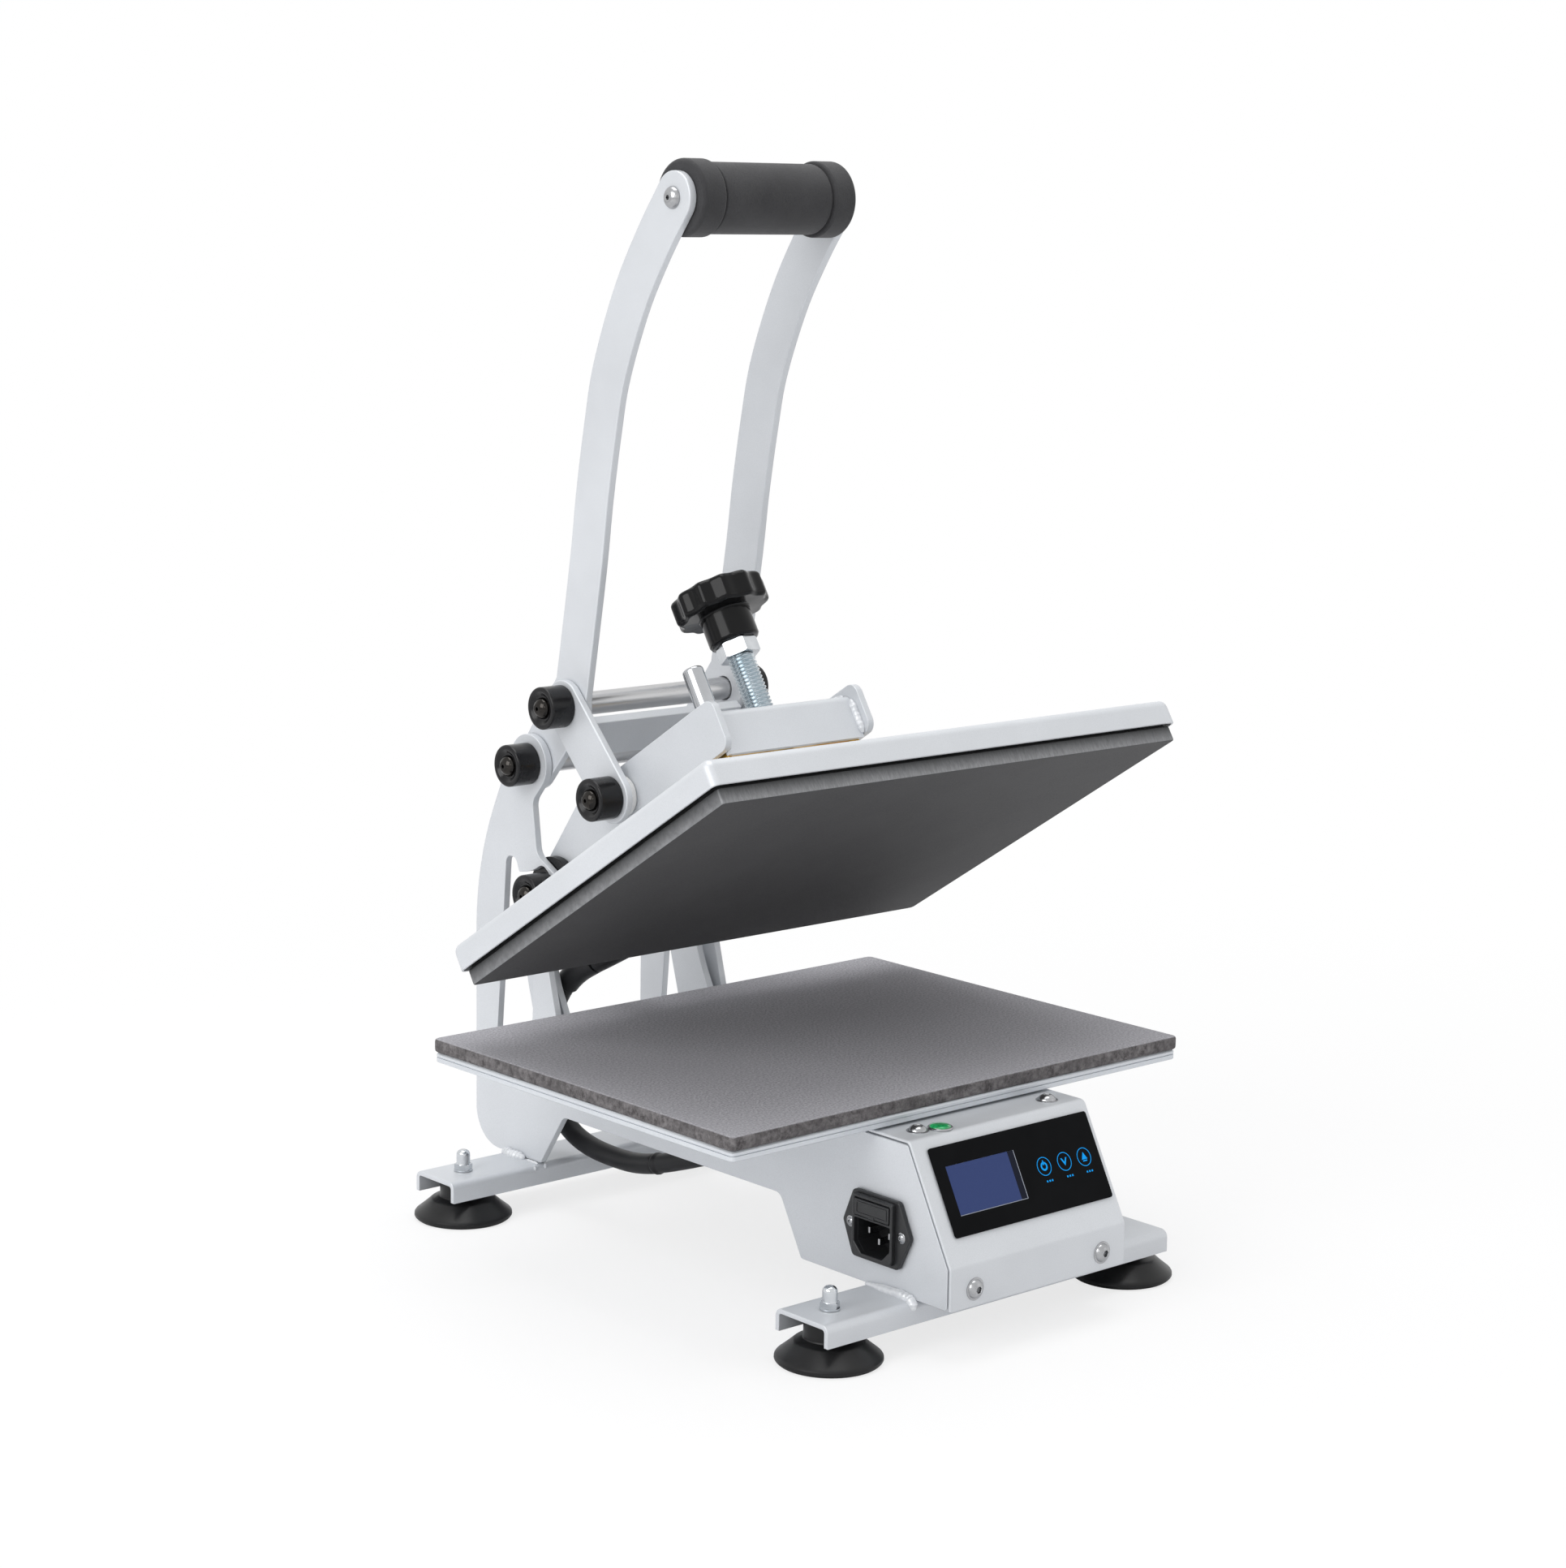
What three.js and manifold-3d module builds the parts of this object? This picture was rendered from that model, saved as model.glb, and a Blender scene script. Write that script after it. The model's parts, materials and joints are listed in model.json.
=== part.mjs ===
// Mini flat heat press, a clamshell with a toggle lever, in millimetres, +Z up.
// X runs to the right, Y to the back. The origin is under the middle of its box, on the bench.
import * as THREE from "three";
import { mergeVertices } from "three/addons/utils/BufferGeometryUtils.js";
import Module from "manifold-3d";

const wasm = await Module();
wasm.setup();

// Clearances, and how many straight edges make a full turn
const touchGap = 0.3;
const runGap = 0.4;
const cutRun = 2;
const roundSegments = 20;
const edgeShare = 0.49;

// Heights from the bench up to the rubber pad
const footHeight = 14;
const legHeight = 11;
const bodyHeight = 76.4;
const tableThickness = 5;
const padThickness = 6.8;
const legTop = footHeight + legHeight;
const sheetBottom = legTop + touchGap;
const sheetTop = sheetBottom + bodyHeight;
const tableBottom = sheetTop + touchGap;
const tableTop = tableBottom + tableThickness;
const padBottom = tableTop + touchGap;
const padTop = padBottom + padThickness;

// Pad and table, seen from above
const padWidth = 300;
const padDepth = 230;
const padCorner = 2.5;
const tableInset = 0.7;
const tableHalfWidth = padWidth / 2 - tableInset;
const tableHalfDepth = padDepth / 2 - tableInset;

// Layers of sheet either side of the middle, from the uprights inwards
const frameHalf = 59;
const frameSheet = 4;
const leverSheet = 4.5;
const armSheet = 4;
const frameInner = frameHalf - frameSheet;
const leverOuter = frameInner - runGap;
const leverInner = leverOuter - leverSheet;
const armOuter = leverInner - touchGap;
const armInner = armOuter - armSheet;

// Platen, set down and back from the arm pivot when the press is closed
const platenDepth = 222;
const platenWidth = padWidth;
const platenThickness = 10;
const platenSetback = 36.4;
const platenDrop = 53;
const closedGap = 5.4;
const openAngle = THREE.MathUtils.degToRad(32.3);

// Pivots in side view, as [y, z]
const armPivotBehindPad = 25.8;
const leverPivotBehind = 15.6;
const leverPivotAbove = 66.3;
const armPivot = [padDepth / 2 + armPivotBehindPad, padTop + closedGap + platenDrop];
const leverPivot = [armPivot[0] + leverPivotBehind, armPivot[1] + leverPivotAbove];

// Toggle: in the closed press the crank and the link lie in one line
const crankLength = 44.4;
const linkPinReach = 76;
const linkPinRise = 20.8;
const linkPinClosed = [armPivot[0] - linkPinReach, armPivot[1] + linkPinRise];
const linkPin = turnedAbout(linkPinClosed, armPivot, -openAngle);
const linkLength = distance(leverPivot, linkPinClosed) - crankLength;
const crankPin = circlesMeet(leverPivot, crankLength, linkPin, linkLength);

// Shafts and their end caps
const shaftRadius = 6;
const boreRadius = shaftRadius + touchGap;
const capRadius = 10.5;
const capLength = 13.5;
const capEdge = 1.4;
const capRecessRadius = 6.4;
const capRecessDepth = 1.6;
const capScrewRadius = 4.2;

// Plane geometry
function distance(p, q) {
  return Math.hypot(q[0] - p[0], q[1] - p[1]);
}

function turnedAbout(point, centre, angle) {
  const away = [point[0] - centre[0], point[1] - centre[1]];
  return [
    centre[0] + away[0] * Math.cos(angle) - away[1] * Math.sin(angle),
    centre[1] + away[0] * Math.sin(angle) + away[1] * Math.cos(angle),
  ];
}

function stepped(from, along, alongBy, side, sideBy) {
  return [from[0] + along[0] * alongBy + side[0] * sideBy, from[1] + along[1] * alongBy + side[1] * sideBy];
}

function unit(from, to) {
  const length = distance(from, to);
  return [(to[0] - from[0]) / length, (to[1] - from[1]) / length];
}

// Where two circles cross, on the left of the way from the first to the second
function circlesMeet(p, pRadius, q, qRadius) {
  const apart = distance(p, q);
  const along = (pRadius ** 2 - qRadius ** 2 + apart ** 2) / (2 * apart);
  const off = Math.sqrt(pRadius ** 2 - along ** 2);
  const way = unit(p, q);
  return stepped(p, way, along, [way[1], -way[0]], off);
}

function arcPoints(centre, radius, from, to) {
  const steps = Math.max(2, Math.round((Math.abs(to - from) / (2 * Math.PI)) * roundSegments));
  return Array.from({ length: steps + 1 }, (_, i) => {
    const angle = from + ((to - from) * i) / steps;
    return [centre[0] + radius * Math.cos(angle), centre[1] + radius * Math.sin(angle)];
  });
}

function circlePoints(centre, radius) {
  return arcPoints(centre, radius, 0, 2 * Math.PI).slice(1);
}

// The angle on a circle at which a line from the point touches it
function tangentAngle(point, centre, radius, side) {
  const away = Math.atan2(point[1] - centre[1], point[0] - centre[0]);
  return away + side * Math.acos(radius / distance(point, centre));
}

// Corners are [a, b, radius], and a corner without a radius stays sharp
function roundCorners(corners) {
  return corners.flatMap(([a, b, radius = 0], i) => {
    if (radius === 0) return [[a, b]];
    const corner = [a, b];
    const before = corners.at(i - 1);
    const after = corners[(i + 1) % corners.length];
    const back = unit(corner, before);
    const on = unit(corner, after);
    const half = Math.acos(back[0] * on[0] + back[1] * on[1]) / 2;
    const room = edgeShare * Math.min(distance(corner, before), distance(corner, after));
    const reach = Math.min(radius / Math.tan(half), room);
    const fitted = reach * Math.tan(half);
    const inward = unit([0, 0], [back[0] + on[0], back[1] + on[1]]);
    const centre = stepped(corner, inward, fitted / Math.sin(half), inward, 0);
    const start = Math.atan2(b + back[1] * reach - centre[1], a + back[0] * reach - centre[0]);
    const end = Math.atan2(b + on[1] * reach - centre[1], a + on[0] * reach - centre[0]);
    const sweep = Math.atan2(Math.sin(end - start), Math.cos(end - start));
    return arcPoints(centre, fitted, start, start + sweep);
  });
}

function rectangle(left, right, low, high, radius = 0) {
  const corners = [[left, low], [right, low], [right, high], [left, high]];
  return roundCorners(corners.map((corner) => [...corner, radius]));
}

function hexagon(acrossFlats) {
  const corner = acrossFlats / Math.sqrt(3);
  return Array.from({ length: 6 }, (_, i) =>
    [corner * Math.cos((i * Math.PI) / 3), corner * Math.sin((i * Math.PI) / 3)]);
}

function bar(p, q, radius) {
  const heading = Math.atan2(q[1] - p[1], q[0] - p[0]);
  const quarter = Math.PI / 2;
  return [
    ...arcPoints(p, radius, heading + quarter, heading + 3 * quarter),
    ...arcPoints(q, radius, heading - quarter, heading + quarter),
  ];
}

// A line of points moved to its left
function offsetPath(path, by) {
  return path.map((point, i) => {
    const back = i > 0 ? unit(path[i - 1], point) : unit(point, path[i + 1]);
    const on = i < path.length - 1 ? unit(point, path[i + 1]) : back;
    const lean = 1 + back[0] * on[0] + back[1] * on[1];
    return [point[0] - (by * (back[1] + on[1])) / lean, point[1] + (by * (back[0] + on[0])) / lean];
  });
}

// The section of a bent sheet whose face follows the path, with its thickness on the left
function bentSheet(path, thickness, bend) {
  const last = path.length - 1;
  const turns = path.map((point, i) => {
    if (i === 0 || i === last) return 0;
    const back = unit(path[i - 1], point);
    const on = unit(point, path[i + 1]);
    return Math.sign(back[0] * on[1] - back[1] * on[0]);
  });
  const radiusOn = (side) => (turn) => (turn === 0 ? 0 : bend + (turn === side ? 0 : thickness));
  const near = path.map((point, i) => [...point, radiusOn(-1)(turns[i])]);
  const far = offsetPath(path, thickness).map((point, i) => [...point, radiusOn(1)(turns[i])]);
  return roundCorners([...near, ...far.reverse()]);
}

// Solids: closed triangle meshes that can be joined and cut
function solid(geometry) {
  const bare = geometry.clone();
  bare.deleteAttribute("normal");
  bare.deleteAttribute("uv");
  const welded = mergeVertices(bare);
  const spots = welded.attributes.position;
  const triangles = [];
  const corner = [0, 1, 2].map(() => new THREE.Vector3());
  let volume = 0;
  for (let i = 0; i < welded.index.count; i += 3) {
    const [a, b, c] = [0, 1, 2].map((k) => welded.index.getX(i + k));
    if (a === b || b === c || c === a) continue;
    triangles.push([a, b, c]);
    [a, b, c].forEach((index, k) => corner[k].fromBufferAttribute(spots, index));
    volume += corner[0].dot(corner[1].clone().cross(corner[2]));
  }
  const outward = volume > 0 ? triangles : triangles.map(([a, b, c]) => [a, c, b]);
  const vertProperties = Float32Array.from(spots.array);
  const triVerts = Uint32Array.from(outward.flat());
  return new wasm.Manifold(new wasm.Mesh({ numProp: 3, vertProperties, triVerts }));
}

const alongX = new THREE.Vector3(1, 0, 0);
const alongY = new THREE.Vector3(0, 1, 0);
const alongZ = new THREE.Vector3(0, 0, 1);
const sideView = new THREE.Matrix4().makeBasis(alongY, alongZ, alongX);
const frontView = new THREE.Matrix4().makeBasis(alongX, alongZ, alongY.clone().negate());

function shapeOf(outline, holes) {
  const shape = new THREE.Shape(outline.map(([a, b]) => new THREE.Vector2(a, b)));
  shape.holes = holes.map((hole) => new THREE.Path(hole.map(([a, b]) => new THREE.Vector2(a, b))));
  return shape;
}

function extruded(outline, holes, depth) {
  return new THREE.ExtrudeGeometry(shapeOf(outline, holes), { depth, bevelEnabled: false });
}

// Outlines of [y, z] run across the press, [x, y] upwards, and [x, z] from front to back
function across(outline, fromX, toX, holes = []) {
  const flat = extruded(outline, holes, Math.abs(toX - fromX)).applyMatrix4(sideView);
  return solid(flat.translate(Math.min(fromX, toX), 0, 0));
}

function upward(outline, fromZ, toZ, holes = []) {
  return solid(extruded(outline, holes, toZ - fromZ).translate(0, 0, fromZ));
}

function backward(outline, fromY, toY, holes = []) {
  const flat = extruded(outline, holes, toY - fromY).applyMatrix4(frontView);
  return solid(flat.translate(0, toY, 0));
}

function block(fromX, toX, fromY, toY, fromZ, toZ) {
  return upward(rectangle(fromX, toX, fromY, toY), fromZ, toZ);
}

// A turned piece: its profile is [radius, height], its axis starts at the given place
function turnedUp(profile, x, y, z, segments = roundSegments) {
  const points = profile.map(([radius, height]) => new THREE.Vector2(radius, height));
  const geometry = new THREE.LatheGeometry(points, segments).rotateX(Math.PI / 2);
  return solid(geometry.translate(x, y, z));
}

function turnedAcross(profile, x, spot, direction, segments = roundSegments) {
  const points = profile.map(([radius, height]) => new THREE.Vector2(radius, height));
  const geometry = new THREE.LatheGeometry(points, segments).rotateZ((-direction * Math.PI) / 2);
  return solid(geometry.translate(x, spot[0], spot[1]));
}

function turnedBack(profile, x, y, z, segments = roundSegments) {
  const points = profile.map(([radius, height]) => new THREE.Vector2(radius, height));
  return solid(new THREE.LatheGeometry(points, segments).translate(x, y, z));
}

const rod = (radius, length) => [[0, 0], [radius, 0], [radius, length], [0, length]];
const tube = (inner, outer, length) =>
  [[inner, 0], [outer, 0], [outer, length], [inner, length], [inner, 0]];

function joined(...pieces) {
  return pieces.reduce((whole, piece) => whole.add(piece));
}

function cut(body, ...tools) {
  return tools.reduce((left, tool) => left.subtract(tool), body);
}

// Finishes: colour, roughness and metalness
const finishes = {
  powderCoat: [0xd0d3d7, 0.5, 0.1],
  aluminium: [0xc4c6c8, 0.35, 0.9],
  castPlaten: [0x4a4b4d, 0.6, 0.4],
  siliconePad: [0x7d7a77, 0.9, 0],
  blackRubber: [0x1b1b1c, 0.7, 0],
  blackPlastic: [0x202123, 0.45, 0],
  foam: [0x34353a, 0.95, 0],
  shaftSteel: [0x9fa2a6, 0.3, 0.95],
  zinc: [0xaebfc6, 0.3, 0.9],
  yellowZinc: [0xc9a24a, 0.35, 0.8],
  chrome: [0xd7dade, 0.08, 1],
  screenGlass: [0x3e4b78, 0.2, 0],
  panelBlack: [0x0b0c0e, 0.15, 0],
  greenLens: [0x14824a, 0.2, 0],
  circuitBoard: [0x1f6b3c, 0.6, 0],
  mineralWool: [0xd8d2c2, 1, 0],
};

function addPiece(group, name, body, finish) {
  const { vertProperties, triVerts } = body.getMesh();
  const geometry = new THREE.BufferGeometry();
  geometry.setAttribute("position", new THREE.BufferAttribute(vertProperties, 3));
  geometry.setIndex(new THREE.BufferAttribute(triVerts, 1));
  geometry.computeVertexNormals();
  const [color, roughness, metalness] = finishes[finish];
  const mesh = new THREE.Mesh(geometry, new THREE.MeshStandardMaterial({ color, roughness, metalness }));
  mesh.name = name;
  group.add(mesh);
}

const press = new THREE.Group();

// Control box cover, a bent sheet that laps over the edges of the side sheets
const coverSheet = 1.5;
const coverBend = 1;
const boxAheadOfPad = 50.2;
const boxHeight = 74;
const boxDepth = 103.2;
const panelDepth = 28.5;
const panelFootHeight = 20.2;
const coverBehindPad = 3;
const boxFrontY = -padDepth / 2 - boxAheadOfPad;
const boxBackY = boxFrontY + boxDepth;
const panelTopY = boxFrontY + panelDepth;
const boxTopZ = sheetBottom + boxHeight;
const panelFootZ = sheetBottom + panelFootHeight;
const coverBackY = -padDepth / 2 - coverBehindPad;
const coverPath = [
  [coverBackY, boxTopZ],
  [panelTopY, boxTopZ],
  [boxFrontY, panelFootZ],
  [boxFrontY, sheetBottom],
];
const sheetPath = offsetPath(coverPath, coverSheet + touchGap);

// Tabs on the side sheets, which the cover is screwed to
const tabReach = 18;
const tabAboveBottom = 8.3;
const tabBehindFold = 10.5;
const tabZ = sheetBottom + tabAboveBottom;
const tabY = panelTopY + tabBehindFold;
const tabSheet = 2;
const tabHalf = 6;

// Mains inlet, seen from the left: its middle, flange, raised face and body
const inletBehindFront = 48.2;
const inletAboveBottom = 29;
const inletY = boxFrontY + inletBehindFront;
const inletZ = sheetBottom + inletAboveBottom;
const flangeHalf = 24;
const flangeTopHalf = 16;
const flangeHalfHeight = 16.5;
const flangeThickness = 2.7;
const flangeCorner = 2.5;
const inletHalf = 13.7;
const inletHalfHeight = 15.4;
const inletRise = 2.5;
const inletBodyDepth = 21;

// Side sheet: outline points near a pivot are shares of the lobe there
const leverLobe = 15.5;
const armLobe = 13;
const waistShare = [-0.245, -1.25];
const chinShare = [0.615, 1.46];
const throatShare = [-0.02, -2.58];
const chestBehindPad = 15.4;
const uprightBehindPivot = 61;
const uprightBendShare = 0.721;
const uprightBend = 320;
const heelRadius = 20;
const heelFrontBehindPad = 30;
const archHeight = 29.3;
const archBehindBox = 16.1;
const archBehindPad = 10.3;
const softCorner = 2;
const archCorner = 6;
const neckCorner = 8;
const uprightBackY = armPivot[0] + uprightBehindPivot;

// Slot between the legs of an upright, its corners as shares of the way from the
// arm pivot back to the upright's edge, and from the sheet's bottom up to that pivot
const slotShares = [
  [0.202, 0.4],
  [0.7, 0.4],
  [0.596, 0.911],
  [0.575, 1.125],
  [0.402, 1.13],
];
const slotCorner = 6;
const slotTopCorner = 5.2;

function lobeSpot(pivot, lobe, share) {
  return [pivot[0] + lobe * share[0], pivot[1] + lobe * share[1]];
}

function slotOutline() {
  const spots = slotShares.map(([deep, high]) => [
    armPivot[0] + uprightBehindPivot * deep,
    sheetBottom + (armPivot[1] - sheetBottom) * high,
  ]);
  const radii = [slotCorner, slotCorner, uprightBend, slotTopCorner, slotTopCorner];
  return roundCorners(spots.map((spot, i) => [...spot, radii[i]]));
}

function sideSheetOutline() {
  const bendZ = sheetBottom + (leverPivot[1] - sheetBottom) * uprightBendShare;
  const waist = lobeSpot(leverPivot, leverLobe, waistShare);
  const chin = lobeSpot(armPivot, armLobe, chinShare);
  const throat = lobeSpot(armPivot, armLobe, throatShare);
  const bend = [uprightBackY, bendZ];
  const leverStart = tangentAngle(bend, leverPivot, leverLobe, 1);
  const leverEnd = tangentAngle(waist, leverPivot, leverLobe, -1) + 2 * Math.PI;
  const armStart = tangentAngle(chin, armPivot, armLobe, 1);
  const armEnd = tangentAngle(throat, armPivot, armLobe, -1) + 2 * Math.PI;
  return roundCorners([
    [...sheetPath[3], softCorner],
    [boxBackY, sheetBottom, softCorner],
    [boxBackY + archBehindBox, sheetBottom + archHeight, archCorner],
    [padDepth / 2 + archBehindPad, sheetBottom + archHeight, archCorner],
    [padDepth / 2 + heelFrontBehindPad, sheetBottom, softCorner],
    [uprightBackY, sheetBottom, heelRadius],
    [...bend, uprightBend],
    ...arcPoints(leverPivot, leverLobe, leverStart, leverEnd),
    [...waist, neckCorner],
    [...chin, neckCorner],
    ...arcPoints(armPivot, armLobe, armStart, armEnd),
    [...throat, neckCorner],
    [padDepth / 2 + chestBehindPad, sheetTop, archCorner],
    [coverBackY + touchGap, sheetTop, softCorner],
    [coverBackY + touchGap, sheetPath[0][1]],
    [...sheetPath[1], softCorner],
    [...sheetPath[2], softCorner],
  ]);
}

function sideSheet(side) {
  const holes = [slotOutline(), circlePoints(leverPivot, boreRadius), circlePoints(armPivot, boreRadius)];
  if (side < 0) {
    const half = inletHalf + touchGap;
    const halfHeight = inletHalfHeight + touchGap;
    holes.push(rectangle(inletY - half, inletY + half, inletZ - halfHeight, inletZ + halfHeight));
  }
  const sheet = across(sideSheetOutline(), side * frameInner, side * frameHalf, holes);
  const tabEnds = [side * (frameInner - tabReach), side * (frameInner + touchGap)];
  const [tabLeft, tabRight] = tabEnds.sort((a, b) => a - b);
  const front = sheetPath[3][0];
  const top = sheetPath[0][1];
  const lowTab = block(tabLeft, tabRight, front, front + tabSheet, tabZ - tabHalf, tabZ + tabHalf);
  const highTab = block(tabLeft, tabRight, tabY - tabHalf, tabY + tabHalf, top - tabSheet, top);
  return joined(sheet, lowTab, highTab);
}

addPiece(press, "side_sheet_left", sideSheet(-1), "powderCoat");
addPiece(press, "side_sheet_right", sideSheet(1), "powderCoat");

// Inner brace behind each upright, with the two spacer bosses that hold it off the sheet
const braceGap = 3.5;
const braceSheet = 4;
const braceOuter = frameInner - braceGap;
const bossRadius = 4;
const braceShares = [
  [-0.16, 0.345],
  [0.03, 0.698],
  [0.18, 0.86],
  [0.48, 0.833],
  [0.42, 0.65],
  [0.2, 0.345],
];
const braceBosses = [[0.04, 0.45], [0.15, 0.775]];
const braceCorners = [6, 60, 8, 8, 40, 6];

function brace(side) {
  const spot = ([deep, high]) => [
    armPivot[0] + uprightBehindPivot * deep,
    sheetBottom + (armPivot[1] - sheetBottom) * high,
  ];
  const outline = roundCorners(braceShares.map((share, i) => [...spot(share), braceCorners[i]]));
  const plate = across(outline, side * braceOuter, side * (braceOuter - braceSheet));
  const bosses = braceBosses.map((share) =>
    turnedAcross(rod(bossRadius, braceSheet + braceGap - touchGap), side * (braceOuter - braceSheet),
      spot(share), side));
  return joined(plate, ...bosses);
}

addPiece(press, "upright_brace_left", brace(-1), "powderCoat");
addPiece(press, "upright_brace_right", brace(1), "powderCoat");

// Legs, channels folded from sheet and open below, with a foot near each end
const legSheet = 2.5;
const legBend = 1.5;
const frontLegHalf = 117;
const rearLegHalf = 118;
const legDepth = 33;
const legBehindFront = 39.7;
const legBehindPad = 45.5;
const frontLegY = boxFrontY + legBehindFront;
const rearLegY = padDepth / 2 + legBehindPad;
const footX = 98;
const studRadius = 4;

function leg(middleY, halfLength) {
  const path = [
    [middleY + legDepth / 2, footHeight],
    [middleY + legDepth / 2, legTop],
    [middleY - legDepth / 2, legTop],
    [middleY - legDepth / 2, footHeight],
  ];
  const channel = across(bentSheet(path, legSheet, legBend), -halfLength, halfLength);
  const hole = rod(studRadius + touchGap, legSheet + 2 * cutRun);
  const holes = [-footX, footX].map((x) => turnedUp(hole, x, middleY, legTop - legSheet - cutRun));
  return cut(channel, ...holes);
}

addPiece(press, "front_leg", leg(frontLegY, frontLegHalf), "powderCoat");
addPiece(press, "rear_leg", leg(rearLegY, rearLegHalf), "powderCoat");

// Suction feet of rubber, each on a stud that ends in an acorn nut above the leg
const footRadius = 27.5;
const footLip = 2.5;
const footEdge = 1.2;
const footNeck = 9;
const footShoulder = 9;
const footHollow = 5;
const footHollowRadius = 8;
const studIntoFoot = 12;
const nutAcross = 13;
const nutHeight = 6.5;
const nutDomeHeight = 7.5;
const nutDomeRadius = 5.6;
const nutSkirt = 2;
const footTop = legTop - legSheet - touchGap;
const footProfile = [
  [0, footTop - studIntoFoot],
  [studRadius + touchGap, footTop - studIntoFoot],
  [studRadius + touchGap, footTop],
  [footNeck, footTop],
  [footNeck, footShoulder],
  [footRadius, footEdge],
  [footRadius, 0],
  [footRadius - footLip, 0],
  [footHollowRadius, footHollow],
  [0, footHollow],
];

function footStud(x, y) {
  const base = legTop + touchGap;
  const sides = hexagon(nutAcross).map(([a, b]) => [x + a, y + b]);
  const hex = upward(sides, base, base + nutHeight);
  const dome = [[0, 0], [nutDomeRadius, 0], [nutDomeRadius, nutHeight + nutSkirt]];
  const steps = 4;
  for (let i = 1; i <= steps; i += 1) {
    const angle = (i * Math.PI) / 2 / steps;
    const rise = (nutDomeHeight - nutSkirt) * Math.sin(angle);
    dome.push([nutDomeRadius * Math.cos(angle), nutHeight + nutSkirt + rise]);
  }
  dome[dome.length - 1][0] = 0;
  const bottom = footTop - studIntoFoot + touchGap;
  const stud = turnedUp(rod(studRadius, base + nutHeight - bottom), x, y, bottom, 12);
  return joined(hex, turnedUp(dome, x, y, base, 12), stud);
}

const footSpots = {
  front_left: [-footX, frontLegY],
  front_right: [footX, frontLegY],
  rear_left: [-footX, rearLegY],
  rear_right: [footX, rearLegY],
};
for (const [corner, [x, y]] of Object.entries(footSpots)) {
  addPiece(press, `suction_foot_${corner}`, turnedUp(footProfile, x, y, 0), "blackRubber");
  addPiece(press, `foot_stud_${corner}`, footStud(x, y), "zinc");
}

// Cross rails between the side sheets, which carry the table
const railSheet = 2.5;
const railHeight = 12;
const railDepth = 20;
const frontRailShare = -0.78;
const rearRailShare = 0.74;
const fitHalf = frameInner - touchGap;
const railMiddles = [frontRailShare, rearRailShare].map((share) => (share * padDepth) / 2);

function rail(middleY) {
  const path = [
    [middleY + railDepth / 2, sheetTop - railHeight],
    [middleY + railDepth / 2, sheetTop],
    [middleY - railDepth / 2, sheetTop],
    [middleY - railDepth / 2, sheetTop - railHeight],
  ];
  return across(bentSheet(path, railSheet, legBend), -fitHalf, fitHalf);
}

addPiece(press, "front_cross_rail", rail(railMiddles[0]), "powderCoat");
addPiece(press, "rear_cross_rail", rail(railMiddles[1]), "powderCoat");

// Table plate
const tableOutline = rectangle(-tableHalfWidth, tableHalfWidth, -tableHalfDepth, tableHalfDepth, padCorner);
addPiece(press, "table_plate", upward(tableOutline, tableBottom, tableTop), "aluminium");

// Rubber pad, its long edges drawn in a little
const padDrawIn = 0.8;
const padOutline = roundCorners([
  [-padWidth / 2, -padDepth / 2, padCorner],
  [0, -padDepth / 2 + padDrawIn],
  [padWidth / 2, -padDepth / 2, padCorner],
  [padWidth / 2 - padDrawIn, 0],
  [padWidth / 2, padDepth / 2, padCorner],
  [0, padDepth / 2 - padDrawIn],
  [-padWidth / 2, padDepth / 2, padCorner],
  [-padWidth / 2 + padDrawIn, 0],
]);
addPiece(press, "rubber_pad", upward(padOutline, padBottom, padTop), "siliconePad");

// Display, in the plane of the sloping panel: x across, y up the slope, z out of it
const slope = Math.atan2(boxTopZ - panelFootZ, panelTopY - boxFrontY);
const panelLeftMargin = 8.4;
const panelRightMargin = 3.2;
const panelLeft = -frameHalf + panelLeftMargin;
const panelRight = frameHalf - panelRightMargin;
const panelLow = 14;
const panelHigh = 57;
const panelThickness = 0.8;
const panelCorner = 1.5;
const screenInset = 7.2;
const screenWidth = 44.9;
const screenLeft = panelLeft + screenInset;
const screenRight = screenLeft + screenWidth;
const screenLow = 23;
const screenHigh = 47;
const boardBehind = 10;
const boardThickness = 1.6;
const standoffRadius = 3;
const standoffInset = 4;
const boardTrim = 4;
const boardRight = panelRight - boardTrim;
const openingRim = 0.8;
const panelSlope = new THREE.Group();
panelSlope.position.set(0, boxFrontY, panelFootZ);
panelSlope.rotation.x = slope;
press.add(panelSlope);

const grown = (by) => rectangle(screenLeft - by, screenRight + by, screenLow - by, screenHigh + by);
const panelOutline = rectangle(panelLeft, panelRight, panelLow, panelHigh, panelCorner);
const displayPanel = upward(panelOutline, touchGap, touchGap + panelThickness, [grown(touchGap)]);
addPiece(panelSlope, "display_panel", displayPanel, "panelBlack");
const screen = upward(grown(0), touchGap - boardBehind, touchGap + panelThickness);
addPiece(panelSlope, "display_screen", screen, "screenGlass");

function controlBoard() {
  const back = -boardBehind - boardThickness;
  const plate = block(panelLeft, boardRight, panelLow, panelHigh, back, -boardBehind);
  const height = boardBehind - coverSheet - touchGap;
  const spots = [panelLeft + standoffInset, boardRight - standoffInset].flatMap((x) =>
    [panelLow + standoffInset, panelHigh - standoffInset].map((y) => [x, y]));
  const foot = boardThickness / 2;
  const posts = spots.map(([x, y]) =>
    turnedUp(rod(standoffRadius, height + foot), x, y, -boardBehind - foot, 8));
  return joined(plate, ...posts);
}

addPiece(panelSlope, "control_board", controlBoard(), "circuitBoard");

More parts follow.
